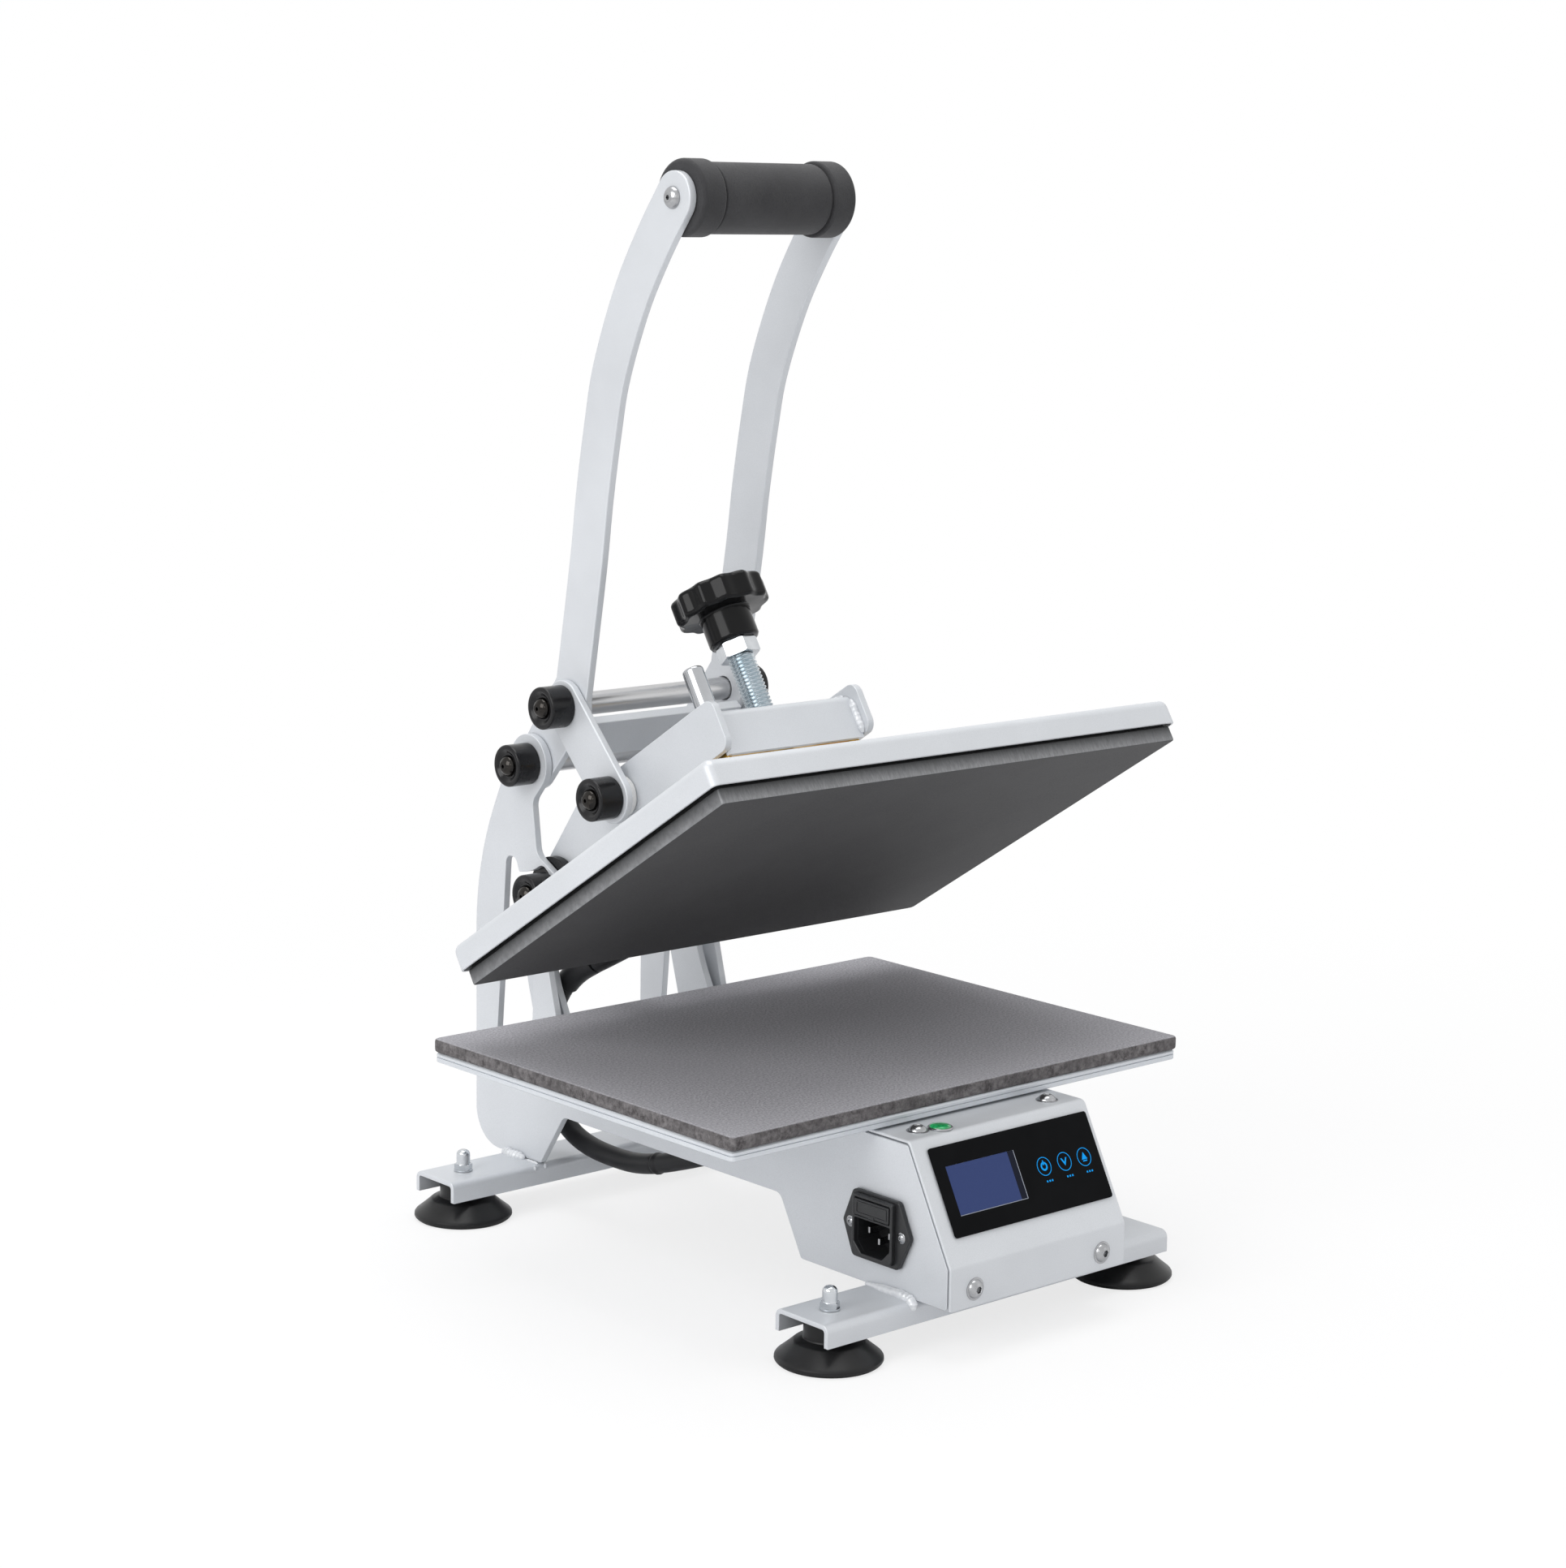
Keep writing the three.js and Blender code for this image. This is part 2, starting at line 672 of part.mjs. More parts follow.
// Box cover with its openings, its tray and the pilot lens
const lensInset = 21.8;
const lensBehindFold = 12.4;
const lensRadius = 6;
const lensStem = 4.5;
const lensHeight = 2.2;
const lensDepth = 8;
const lensCrownShares = [0.7, 0.8];
const lensX = panelLeft + lensInset;
const lensY = panelTopY + lensBehindFold;

function boxCover() {
  const sheet = across(bentSheet(coverPath, coverSheet, coverBend), -frameHalf, frameHalf);
  const opening = upward(grown(openingRim), -coverSheet - cutRun, cutRun);
  const tilt = new THREE.Matrix4().makeRotationX(slope).setPosition(0, boxFrontY, panelFootZ);
  const mesh = opening.getMesh();
  const tool = new THREE.BufferGeometry();
  tool.setAttribute("position", new THREE.BufferAttribute(mesh.vertProperties, 3));
  tool.setIndex(new THREE.BufferAttribute(mesh.triVerts, 1));
  const lensHole = rod(lensStem + touchGap, coverSheet + 2 * cutRun);
  return cut(sheet, solid(tool.applyMatrix4(tilt)),
    turnedUp(lensHole, lensX, lensY, boxTopZ - coverSheet - cutRun, 12));
}

addPiece(press, "control_box_cover", boxCover(), "powderCoat");

const lensProfile = [
  [0, lensHeight],
  [lensRadius * lensCrownShares[0], lensHeight * lensCrownShares[1]],
  [lensRadius, touchGap],
  [lensStem, touchGap],
  [lensStem, -lensDepth],
  [0, -lensDepth],
];
addPiece(press, "pilot_lens", turnedUp(lensProfile, lensX, lensY, boxTopZ, 16), "greenLens");

// Cable size, which the glands fit
const cableRadius = 4.5;
const cableHole = cableRadius + touchGap;
const glandRadius = 9;
const glandNeck = 6.5;
const glandFlange = 4;
const cableX = -30;
const cableEntryHeight = 49.7;
const rearWallInset = 2;
const rearWallY = boxBackY - rearWallInset;
const cableEntryZ = sheetBottom + cableEntryHeight;
const trayTopGap = 3.5;

function boxTray() {
  const path = [
    [sheetPath[3][0], sheetBottom],
    [rearWallY, sheetBottom],
    [rearWallY, sheetTop - trayTopGap],
  ];
  const tray = across(bentSheet(path, coverSheet, coverBend), -fitHalf, fitHalf);
  const through = rod(glandNeck + touchGap, coverSheet + 2 * cutRun);
  return cut(tray, turnedBack(through, cableX, rearWallY - coverSheet - cutRun, cableEntryZ));
}

addPiece(press, "control_box_tray", boxTray(), "powderCoat");

const glandBehind = touchGap + glandFlange;
const glandAhead = coverSheet + touchGap + glandFlange;
const glandProfile = [
  [cableHole, -glandAhead],
  [glandRadius, -glandAhead],
  [glandRadius, -coverSheet - touchGap],
  [glandNeck, -coverSheet - touchGap],
  [glandNeck, touchGap],
  [glandRadius, touchGap],
  [glandRadius, glandBehind],
  [cableHole, glandBehind],
  [cableHole, -glandAhead],
];
addPiece(press, "box_cable_gland",
  turnedBack(glandProfile, cableX, rearWallY, cableEntryZ, 16), "blackPlastic");

// Relay that switches the heater, on the tray
const relayWidth = 45;
const relayDepth = 50;
const relayHeight = 24;
const relayX = 22;
const relayBehindFront = 37.2;
const relayFront = boxFrontY + relayBehindFront;
const relayBottom = sheetBottom + coverSheet + touchGap;
const relay = block(relayX - relayWidth / 2, relayX + relayWidth / 2, relayFront, relayFront + relayDepth,
  relayBottom, relayBottom + relayHeight);
addPiece(press, "heater_relay", relay, "blackPlastic");

// Mains inlet: flange and raised face outside, body inside, socket below the fuse drawer
const socketHalf = 12.2;
const socketLow = 13;
const socketHigh = 3.7;
const socketChamfer = 5;
const socketDepth = 17;
const drawerHalf = 12;
const drawerLow = 5;
const drawerHigh = 13.6;
const drawerDepth = 19;
const pinWidth = 2;
const pinHeight = 4;
const pinLength = 12;
const pinSpread = 7;
const linePinDrop = 2.6;
const earthPinDrop = 6.8;
const pinSpots = [[-pinSpread, -linePinDrop], [0, -earthPinDrop], [pinSpread, -linePinDrop]];
const inletFace = frameHalf + touchGap + flangeThickness + inletRise;
const flangeFace = inletFace - inletRise;

function powerInlet() {
  const corners = [
    [flangeHalf, 0], [flangeTopHalf, flangeHalfHeight], [-flangeTopHalf, flangeHalfHeight],
    [-flangeHalf, 0], [-flangeTopHalf, -flangeHalfHeight], [flangeTopHalf, -flangeHalfHeight],
  ].map(([deep, high]) => [inletY + deep, inletZ + high, flangeCorner]);
  const flange = across(roundCorners(corners), -frameHalf - touchGap, -flangeFace);
  const face = rectangle(
    inletY - inletHalf, inletY + inletHalf, inletZ - inletHalfHeight, inletZ + inletHalfHeight);
  const body = across(face, -frameHalf + inletBodyDepth, -inletFace);
  const socket = [
    [inletY - socketHalf, inletZ + socketHigh], [inletY + socketHalf, inletZ + socketHigh],
    [inletY + socketHalf, inletZ - socketLow + socketChamfer],
    [inletY + socketHalf - socketChamfer, inletZ - socketLow],
    [inletY - socketHalf + socketChamfer, inletZ - socketLow],
    [inletY - socketHalf, inletZ - socketLow + socketChamfer],
  ];
  const slot = rectangle(inletY - drawerHalf, inletY + drawerHalf, inletZ + drawerLow, inletZ + drawerHigh);
  const hollow = cut(joined(flange, body),
    across(socket, -inletFace - cutRun, -inletFace + socketDepth),
    across(slot, -inletFace - cutRun, -inletFace + drawerDepth));
  const pinFoot = -inletFace + socketDepth + touchGap;
  const pins = pinSpots.map(([deep, high]) => block(
    pinFoot - pinLength, pinFoot,
    inletY + deep - pinWidth / 2, inletY + deep + pinWidth / 2,
    inletZ + high - pinHeight / 2, inletZ + high + pinHeight / 2));
  return joined(hollow, ...pins);
}

addPiece(press, "mains_inlet", powerInlet(), "blackPlastic");

// Fuse drawer, flush with the inlet's face, with a pocket for the fuse
const drawerLip = 0.6;
const drawerWall = 1.4;
const fuseDrawer = cut(
  block(-inletFace - drawerLip, -inletFace + drawerDepth - touchGap,
    inletY - drawerHalf + touchGap, inletY + drawerHalf - touchGap,
    inletZ + drawerLow + touchGap, inletZ + drawerHigh - touchGap),
  block(-inletFace + drawerWall, -inletFace + drawerDepth - drawerWall,
    inletY - drawerHalf + drawerWall, inletY + drawerHalf - drawerWall,
    inletZ + drawerLow + drawerWall, inletZ + drawerHigh + cutRun));
addPiece(press, "fuse_drawer", fuseDrawer, "blackPlastic");

// Shafts across the uprights and the levers, each with a cap pressed on both ends
const capProfile = [
  [0, 0],
  [capRadius, 0],
  [capRadius, capLength - capEdge],
  [capRadius - capEdge, capLength],
  [capRecessRadius, capLength],
  [capRecessRadius, capLength - capRecessDepth],
  [capScrewRadius, capLength - capRecessDepth],
  [0, capLength - touchGap],
];

function cap(spot, side) {
  return turnedAcross(capProfile, side * (frameHalf + touchGap), spot, side, 16);
}

function cappedShaft(spot) {
  const reach = frameHalf + capEdge;
  const middle = turnedAcross(rod(shaftRadius, 2 * reach), -reach, spot, 1, 16);
  return joined(middle, cap(spot, -1), cap(spot, 1));
}

// A ring that fills the space between an arm plate and what stands outside it
const ringRadius = 10.5;
const ringLength = frameInner - armOuter - 2 * touchGap;

function ring(spot, side) {
  return turnedAcross(rod(ringRadius, ringLength), side * (armOuter + touchGap), spot, side, 16);
}

addPiece(press, "lever_shaft", cappedShaft(leverPivot), "shaftSteel");
const armShaft = joined(cappedShaft(armPivot), ring(armPivot, -1), ring(armPivot, 1));
addPiece(press, "arm_shaft", armShaft, "shaftSteel");

// Lever: two bars that bend forward to the grip, and the crank down to the lever pivot
const leverWidth = 26;
const crankRadius = 14;
const leverRise = 258.3;
const leverReach = 79.6;
const leverLineShares = [
  [0, 0], [0.156, 0.278], [0.221, 0.421], [0.299, 0.554],
  [0.384, 0.665], [0.577, 0.805], [0.791, 0.913], [1, 1],
];
const leverSteps = 16;
const gripSpot = [crankPin[0] - leverReach, crankPin[1] + leverRise];
const gripScrewShank = 3;
const gripScrewHole = gripScrewShank + touchGap;

function leverOutline() {
  const line = new THREE.SplineCurve(leverLineShares.map(([forward, up]) =>
    new THREE.Vector2(crankPin[0] - leverReach * forward, crankPin[1] + leverRise * up)));
  const left = [];
  const right = [];
  for (let i = 0; i <= leverSteps; i += 1) {
    const spot = line.getPointAt(i / leverSteps);
    const way = line.getTangentAt(i / leverSteps);
    left.push([spot.x - (way.y * leverWidth) / 2, spot.y + (way.x * leverWidth) / 2]);
    right.push([spot.x + (way.y * leverWidth) / 2, spot.y - (way.x * leverWidth) / 2]);
  }
  const end = line.getTangentAt(1);
  const heading = Math.atan2(end.y, end.x);
  const cap = arcPoints(gripSpot, leverWidth / 2, heading - Math.PI / 2, heading + Math.PI / 2);
  return [...right, ...cap.slice(1, -1), ...left.reverse()];
}

function lever(side) {
  const inner = side * leverInner;
  const outer = side * leverOuter;
  const blank = joined(
    across(leverOutline(), inner, outer), across(bar(crankPin, leverPivot, crankRadius), inner, outer));
  const from = side * (leverInner - cutRun);
  const length = leverSheet + 2 * cutRun;
  return cut(blank,
    turnedAcross(rod(boreRadius, length), from, crankPin, side, 16),
    turnedAcross(rod(boreRadius, length), from, leverPivot, side, 16),
    turnedAcross(rod(gripScrewHole, length), from, gripSpot, side, 12));
}

addPiece(press, "lever_left", lever(-1), "powderCoat");
addPiece(press, "lever_right", lever(1), "powderCoat");

// Cross plate welded between the levers, in front of the line from pin to pivot
const tieThickness = 5;
const tieOff = 12;
const tieBeyond = 3.8;
const tieReach = 23;
const tieHalf = leverInner - touchGap;
const crankWay = unit(crankPin, leverPivot);
const crankFront = [crankWay[1], -crankWay[0]];
const tieOutline = [
  stepped(crankPin, crankWay, -tieBeyond, crankFront, tieOff),
  stepped(crankPin, crankWay, tieReach, crankFront, tieOff),
  stepped(crankPin, crankWay, tieReach, crankFront, tieOff + tieThickness),
  stepped(crankPin, crankWay, -tieBeyond, crankFront, tieOff + tieThickness),
];
addPiece(press, "lever_cross_plate", across(tieOutline, -tieHalf, tieHalf), "powderCoat");
addPiece(press, "crank_shaft", cappedShaft(crankPin), "shaftSteel");

// Grip: a steel rod between the levers, a foam sleeve with a collar at each end, two screws
const gripHalf = leverInner - touchGap;
const gripRodRadius = 11;
const foamRadius = 17.5;
const collarRadius = 19;
const collarLength = 14;
const foamHalf = gripHalf;
const gripScrewLength = 14;
const gripScrewHead = 5.5;
const gripScrewHeadHeight = 3;
const gripCrownShares = [0.6, 0.3];
const gripRod = cut(
  turnedAcross(rod(gripRodRadius, 2 * gripHalf), -gripHalf, gripSpot, 1, 16),
  ...[-1, 1].map((side) => turnedAcross(
    rod(gripScrewHole, gripScrewLength + cutRun), side * (gripHalf + cutRun), gripSpot, -side, 12)));
addPiece(press, "grip_rod", gripRod, "shaftSteel");
const foamProfile = [
  [gripRodRadius + touchGap, -foamHalf],
  [collarRadius, -foamHalf],
  [collarRadius, -foamHalf + collarLength],
  [foamRadius, -foamHalf + collarLength],
  [foamRadius, foamHalf - collarLength],
  [collarRadius, foamHalf - collarLength],
  [collarRadius, foamHalf],
  [gripRodRadius + touchGap, foamHalf],
  [gripRodRadius + touchGap, -foamHalf],
];
addPiece(press, "foam_grip", turnedAcross(foamProfile, 0, gripSpot, 1), "foam");
const gripScrewProfile = [
  [0, touchGap + gripScrewHeadHeight],
  [gripScrewHead * gripCrownShares[0], touchGap + gripScrewHeadHeight],
  [gripScrewHead, touchGap + gripScrewHeadHeight * gripCrownShares[1]],
  [gripScrewHead, touchGap],
  [gripScrewShank, touchGap],
  [gripScrewShank, -gripScrewLength],
  [0, -gripScrewLength],
];
for (const [name, side] of [["grip_screw_left", -1], ["grip_screw_right", 1]]) {
  addPiece(press, name, turnedAcross(gripScrewProfile, side * leverOuter, gripSpot, side, 12), "shaftSteel");
}

// Links outside the levers, with the pin, ring and cap at their lower end. The pin
// stops just short of the arm plate.
const linkSheet = frameSheet;
const linkRadius = 13.5;

function link(side) {
  const holes = [circlePoints(crankPin, boreRadius), circlePoints(linkPin, boreRadius)];
  const inner = side * frameInner;
  return across(bar(crankPin, linkPin, linkRadius), inner, inner + side * linkSheet, holes);
}

addPiece(press, "link_left", link(-1), "powderCoat");
addPiece(press, "link_right", link(1), "powderCoat");

for (const [name, side] of [["link_pin_left", -1], ["link_pin_right", 1]]) {
  const from = armOuter + touchGap;
  const pin = turnedAcross(rod(shaftRadius, frameHalf + capEdge - from), side * from, linkPin, side, 16);
  addPiece(press, name, joined(pin, ring(linkPin, side), cap(linkPin, side)), "shaftSteel");
}

// Platen arm, drawn closed about its pivot and then tilted open. Forward is -Y.
const armGroup = new THREE.Group();
armGroup.position.set(0, armPivot[0], armPivot[1]);
armGroup.rotation.x = -openAngle;
press.add(armGroup);

// Heights above the platen's underside, and lengths forward of its back edge
const platenGroup = new THREE.Group();
platenGroup.position.set(0, -platenSetback, -platenDrop);
armGroup.add(platenGroup);
const screwForward = 104;
const armTopHeight = 86;
const armNoseBottom = 66;
const armHeelBottom = 60;
const armHeelForward = 20;
const armSlopeForward = 6;
const armEndBeyondScrew = 23;
const armEndForward = screwForward + armEndBeyondScrew;
const armPlateLobe = 17;
const armNoseCorner = 6;
const armSlopeCorner = 14;

function armOutline() {
  const pivot = [platenSetback, platenDrop];
  const shoulder = [-armSlopeForward, armTopHeight];
  const heel = [-armHeelForward, armHeelBottom];
  const from = tangentAngle(heel, pivot, armPlateLobe, 1);
  const to = tangentAngle(shoulder, pivot, armPlateLobe, -1);
  return roundCorners([
    [-armEndForward, armTopHeight, armNoseCorner],
    [-armEndForward, armNoseBottom, armNoseCorner],
    [...heel, armSlopeCorner],
    ...arcPoints(pivot, armPlateLobe, from, to + 2 * Math.PI),
    [...shoulder, armSlopeCorner],
  ]);
}

const armBore = circlePoints([platenSetback, platenDrop], boreRadius);
for (const [name, side] of [["arm_plate_left", -1], ["arm_plate_right", 1]]) {
  const plate = across(armOutline(), side * armInner, side * armOuter, [armBore]);
  addPiece(platenGroup, name, plate, "powderCoat");
}

// Front channel between the arm plates, open below, and the threaded bush under its web
const channelSheet = 2.5;
const channelAhead = 17;
const channelBehind = 16;
const channelTop = 82.5;
const channelBottom = 65.5;
const screwRadius = 7;
const postRadius = 5.5;
const postInset = 11.8;
const postX = -armInner + postInset;
const bushRadius = 12;
const bushLength = 12;
const channelHalf = armInner - touchGap;

function frontChannel() {
  const path = [
    [-screwForward + channelBehind, channelBottom],
    [-screwForward + channelBehind, channelTop],
    [-screwForward - channelAhead, channelTop],
    [-screwForward - channelAhead, channelBottom],
  ];
  const channel = across(bentSheet(path, channelSheet, legBend), -channelHalf, channelHalf);
  const web = channelTop - channelSheet - cutRun;
  const depth = channelSheet + 2 * cutRun;
  return cut(channel,
    turnedUp(rod(screwRadius + touchGap, depth), 0, -screwForward, web),
    turnedUp(rod(postRadius + runGap, depth), postX, -screwForward, web, 16));
}

addPiece(platenGroup, "arm_front_channel", frontChannel(), "powderCoat");
const bushTop = channelTop - channelSheet - touchGap;
addPiece(platenGroup, "threaded_bush",
  turnedUp(tube(screwRadius + touchGap, bushRadius, bushLength), 0, -screwForward, bushTop - bushLength, 16),
  "zinc");

// Rear tie between the arm plates, near the pivot
const rearTieBack = 7.8;
const rearTieHeight = 67.4;
const rearTieHalf = 8;
const rearTieThickness = 5;
const rearTie = block(-channelHalf, channelHalf, rearTieBack - rearTieHalf, rearTieBack + rearTieHalf,
  rearTieHeight - rearTieThickness / 2, rearTieHeight + rearTieThickness / 2);
addPiece(platenGroup, "arm_rear_tie", rearTie, "powderCoat");

// Sheet cover over the platen, a shallow pan upside down with its top edge rolled over
const panSheet = 1.2;
const panOver = 3.3;
const panAhead = 2.5;
const panBehind = 2.7;
const panBottom = 8.5;
const panTop = 22;
const panCorner = 6;
const panBevel = 2.5;
const panFront = -platenDepth - panAhead;
const panHalf = platenWidth / 2 + panOver;
const grommetWall = 0.6;
const panWallHole = cableRadius + 2 * touchGap + grommetWall;
const cableHeight = 14.7;
const cableSideX = -25;

function pan(inset, low, high) {
  const outline = rectangle(-panHalf + inset + panBevel, panHalf - inset - panBevel,
    panFront + inset + panBevel, panBehind - inset - panBevel, panCorner - panBevel);
  const shape = shapeOf(outline, []);
  const rounded = new THREE.ExtrudeGeometry(shape, {
    depth: high - low - panBevel,
    bevelEnabled: true,
    bevelSize: panBevel,
    bevelThickness: panBevel,
    bevelSegments: 2,
  });
  return solid(rounded.translate(0, 0, low));
}

function platenCover() {
  const outer = pan(0, panBottom, panTop);
  const inner = pan(panSheet, panBottom, panTop - panSheet);
  const below = block(-2 * panHalf, 2 * panHalf, 2 * panFront, -panFront, -2 * panTop, panBottom);
  const hole = turnedBack(rod(panWallHole, panSheet + 2 * cutRun), cableSideX,
    panBehind - panSheet - cutRun, cableHeight, 16);
  return cut(outer, inner, below, hole);
}

addPiece(platenGroup, "platen_cover", platenCover(), "powderCoat");

// Cast platen with a groove on top for its heating element, and the wool above it
const grooveWidth = 9;
const grooveDepth = 6;
const grooveBend = 20;
const grooveInset = 42;
const grooveHalf = platenWidth / 2 - grooveInset;
const bentPath = (endGap) => [
  [-grooveHalf, -grooveInset - endGap],
  [-grooveHalf, grooveInset - platenDepth],
  [grooveHalf, grooveInset - platenDepth],
  [grooveHalf, -grooveInset - endGap],
];
const grooveFloor = platenThickness - grooveDepth;
const platenCorner = 2;
const platen = cut(
  upward(rectangle(-platenWidth / 2, platenWidth / 2, -platenDepth, 0, platenCorner), 0, platenThickness),
  upward(bentSheet(bentPath(0), grooveWidth, grooveBend), grooveFloor, platenThickness + cutRun));
addPiece(platenGroup, "heat_platen", platen, "castPlaten");
const elementPath = offsetPath(bentPath(touchGap), touchGap);
const element = upward(bentSheet(elementPath, grooveWidth - 2 * touchGap, grooveBend + touchGap),
  grooveFloor + touchGap, platenThickness - touchGap);
addPiece(platenGroup, "heating_element", element, "shaftSteel");

const woolInset = 4;
const woolBehind = 14;
const woolBottom = platenThickness + touchGap;
const woolTop = panTop - panSheet - touchGap;
const woolHalf = platenWidth / 2 - woolInset;
const wool = block(-woolHalf, woolHalf, woolInset - platenDepth, -woolBehind, woolBottom, woolTop);
addPiece(platenGroup, "insulation_block", wool, "mineralWool");

// Zinc plated hat bracket that the screw pushes on, bolted through the cover to the platen
const hatSideGap = 1.8;
const hatHalf = armInner - hatSideGap;
const hatFoot = 12;
const hatSheet = 2.5;
const hatTop = 63.5;
const hatAhead = 14;
const hatBehind = 16;
const hatBottom = panTop + touchGap;
const spigotRadius = 5;
const hatPath = [
  [hatHalf + hatFoot, hatBottom + hatSheet],
  [hatHalf, hatBottom + hatSheet],
  [hatHalf, hatTop],
  [-hatHalf, hatTop],
  [-hatHalf, hatBottom + hatSheet],
  [-hatHalf - hatFoot, hatBottom + hatSheet],
];
const hatHole = rod(spigotRadius + touchGap, hatSheet + 2 * cutRun);
const hat = cut(
  backward(bentSheet(hatPath, hatSheet, legBend), -screwForward - hatAhead, -screwForward + hatBehind),
  turnedUp(hatHole, 0, -screwForward, hatTop - hatSheet - cutRun, 16));
addPiece(platenGroup, "screw_bracket", hat, "yellowZinc");

// Chrome post beside the screw, which keeps the platen from turning
const postTop = 113;
const postBottom = hatTop + touchGap;
const postEdge = 0.8;
const postProfile = [
  [0, postBottom],
  [postRadius, postBottom],
  [postRadius, postTop - postEdge],
  [postRadius - postEdge, postTop],
  [0, postTop],
];
addPiece(platenGroup, "guide_post", turnedUp(postProfile, postX, -screwForward, 0), "chrome");

// Pressure screw with the collar that holds it in the bracket, its lock nut and knob
const screwBelowHat = 7;
const collarGap = 0.3;
const collarHeight = 4.2;
const screwCollar = 8.5;
const nutBottom = 115;
const lockNutAcross = 21;
const lockNutHeight = 11.3;
const hubRadius = 13.25;
const hubHeight = 16.4;
const knobRadius = 25;
const knobHeight = 14;
const knobLobes = 12;
const lobeDepth = 2.6;
const lobeSteps = 4;
const screwIntoKnob = 14.4;
const hatUnder = hatTop - hatSheet - collarGap;
const hubBottom = nutBottom + lockNutHeight + touchGap;
const knobBottom = hubBottom + hubHeight;
const screwTop = hubBottom + screwIntoKnob;
const screwProfile = [
  [0, hatUnder - screwBelowHat],
  [spigotRadius, hatUnder - screwBelowHat],
  [spigotRadius, hatUnder - collarHeight],
  [screwCollar, hatUnder - collarHeight],
  [screwCollar, hatUnder],
  [spigotRadius, hatUnder],
  [spigotRadius, hatTop + touchGap],
  [screwRadius, hatTop + touchGap],
  [screwRadius, screwTop],
  [0, screwTop],
];
const screwGroup = new THREE.Group();
screwGroup.position.y = -screwForward;
platenGroup.add(screwGroup);
addPiece(screwGroup, "pressure_screw", turnedUp(screwProfile, 0, 0, 0), "zinc");

const nutBore = [circlePoints([0, 0], screwRadius + touchGap)];
const lockNut = upward(hexagon(lockNutAcross), nutBottom, nutBottom + lockNutHeight, nutBore);
addPiece(screwGroup, "screw_lock_nut", lockNut, "zinc");

function pressureKnob() {
  const count = knobLobes * lobeSteps;
  const rim = Array.from({ length: count }, (_, i) => {
    const turn = (2 * Math.PI * i) / count;
    const radius = knobRadius - (lobeDepth * (1 - Math.cos(knobLobes * turn))) / 2;
    return [radius * Math.cos(turn), radius * Math.sin(turn)];
  });
  const head = upward(rim, knobBottom, knobBottom + knobHeight);
  const hub = turnedUp(rod(hubRadius, hubHeight + knobHeight / 2), 0, 0, hubBottom);
  const bore = rod(screwRadius + touchGap, screwIntoKnob + touchGap + cutRun);
  return cut(joined(head, hub), turnedUp(bore, 0, 0, hubBottom - cutRun));
}

addPiece(screwGroup, "pressure_knob", pressureKnob(), "blackPlastic");

// Heater cable: a tail that runs straight out of the cover, and the length from its end
// down behind the table, under it and into the control box
const cableSides = 10;
const tailInside = 0.4;
const tailLength = 46;
const grommetFlange = 6;
const grommetLength = 2.5;
const grommetProfile = [
  [cableHole, -panSheet],
  [panWallHole - touchGap / 2, -panSheet],
  [panWallHole - touchGap / 2, touchGap],
  [grommetFlange, touchGap],
  [grommetFlange, grommetLength],
  [cableHole, grommetLength],
  [cableHole, -panSheet],
];
addPiece(platenGroup, "cable_grommet",
  turnedBack(grommetProfile, cableSideX, panBehind, cableHeight, 16), "blackRubber");
addPiece(platenGroup, "cable_tail",
  turnedBack(rod(cableRadius, tailLength - tailInside), cableSideX, tailInside, cableHeight, cableSides),
  "blackRubber");

const tailEndClosed = [
  armPivot[0] - platenSetback + tailLength + touchGap,
  armPivot[1] - platenDrop + cableHeight,
];
const tailEnd = turnedAbout(tailEndClosed, armPivot, -openAngle);
const cableRoute = [
  [-25.5, 137.8, 129.1],
  [-26.5, 146.6, 122.4],
  [-28, 154.6, 114.2],
  [-29.5, 161.2, 104.2],
  [-31, 165.6, 92.4],
  [-32.5, 167.5, 79],
  [-34, 166.5, 66],
  [-35, 162, 54],
  [-35.5, 154.5, 45],
  [-36, 144.5, 39.5],
  [-36, 132, 36.5],
  [-36, 115, 35],
  [-36, 95, 35.5],
  [-36, 75, 38],
  [-35, 55, 42.5],
  [-34, 35, 48.5],
  [-33, 15, 55.5],
  [-32, -5, 62.5],
  [-31, -25, 69],
  [-30, -45, 74],
  [-30, -56, 75],
  [-30, -80, 75],
];
const cableLine = new THREE.CatmullRomCurve3([
  new THREE.Vector3(cableSideX, tailEnd[0], tailEnd[1]),
  ...cableRoute.map((spot) => new THREE.Vector3(...spot)),
], false, "centripetal");
const cableSteps = 34;
const cableSection = shapeOf(
  Array.from({ length: cableSides }, (_, i) => {
    const turn = (2 * Math.PI * i) / cableSides;
    return [cableRadius * Math.cos(turn), cableRadius * Math.sin(turn)];
  }), []);
const cable = new THREE.ExtrudeGeometry(cableSection, { steps: cableSteps, extrudePath: cableLine });
addPiece(press, "heater_cable", solid(cable), "blackRubber");

// The origin lies under the middle of the whole box
press.position.y = -(boxFrontY + uprightBackY) / 2;

export default press;
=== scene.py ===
import json
import math

import bmesh
import bpy
from mathutils import Matrix, Vector, noise


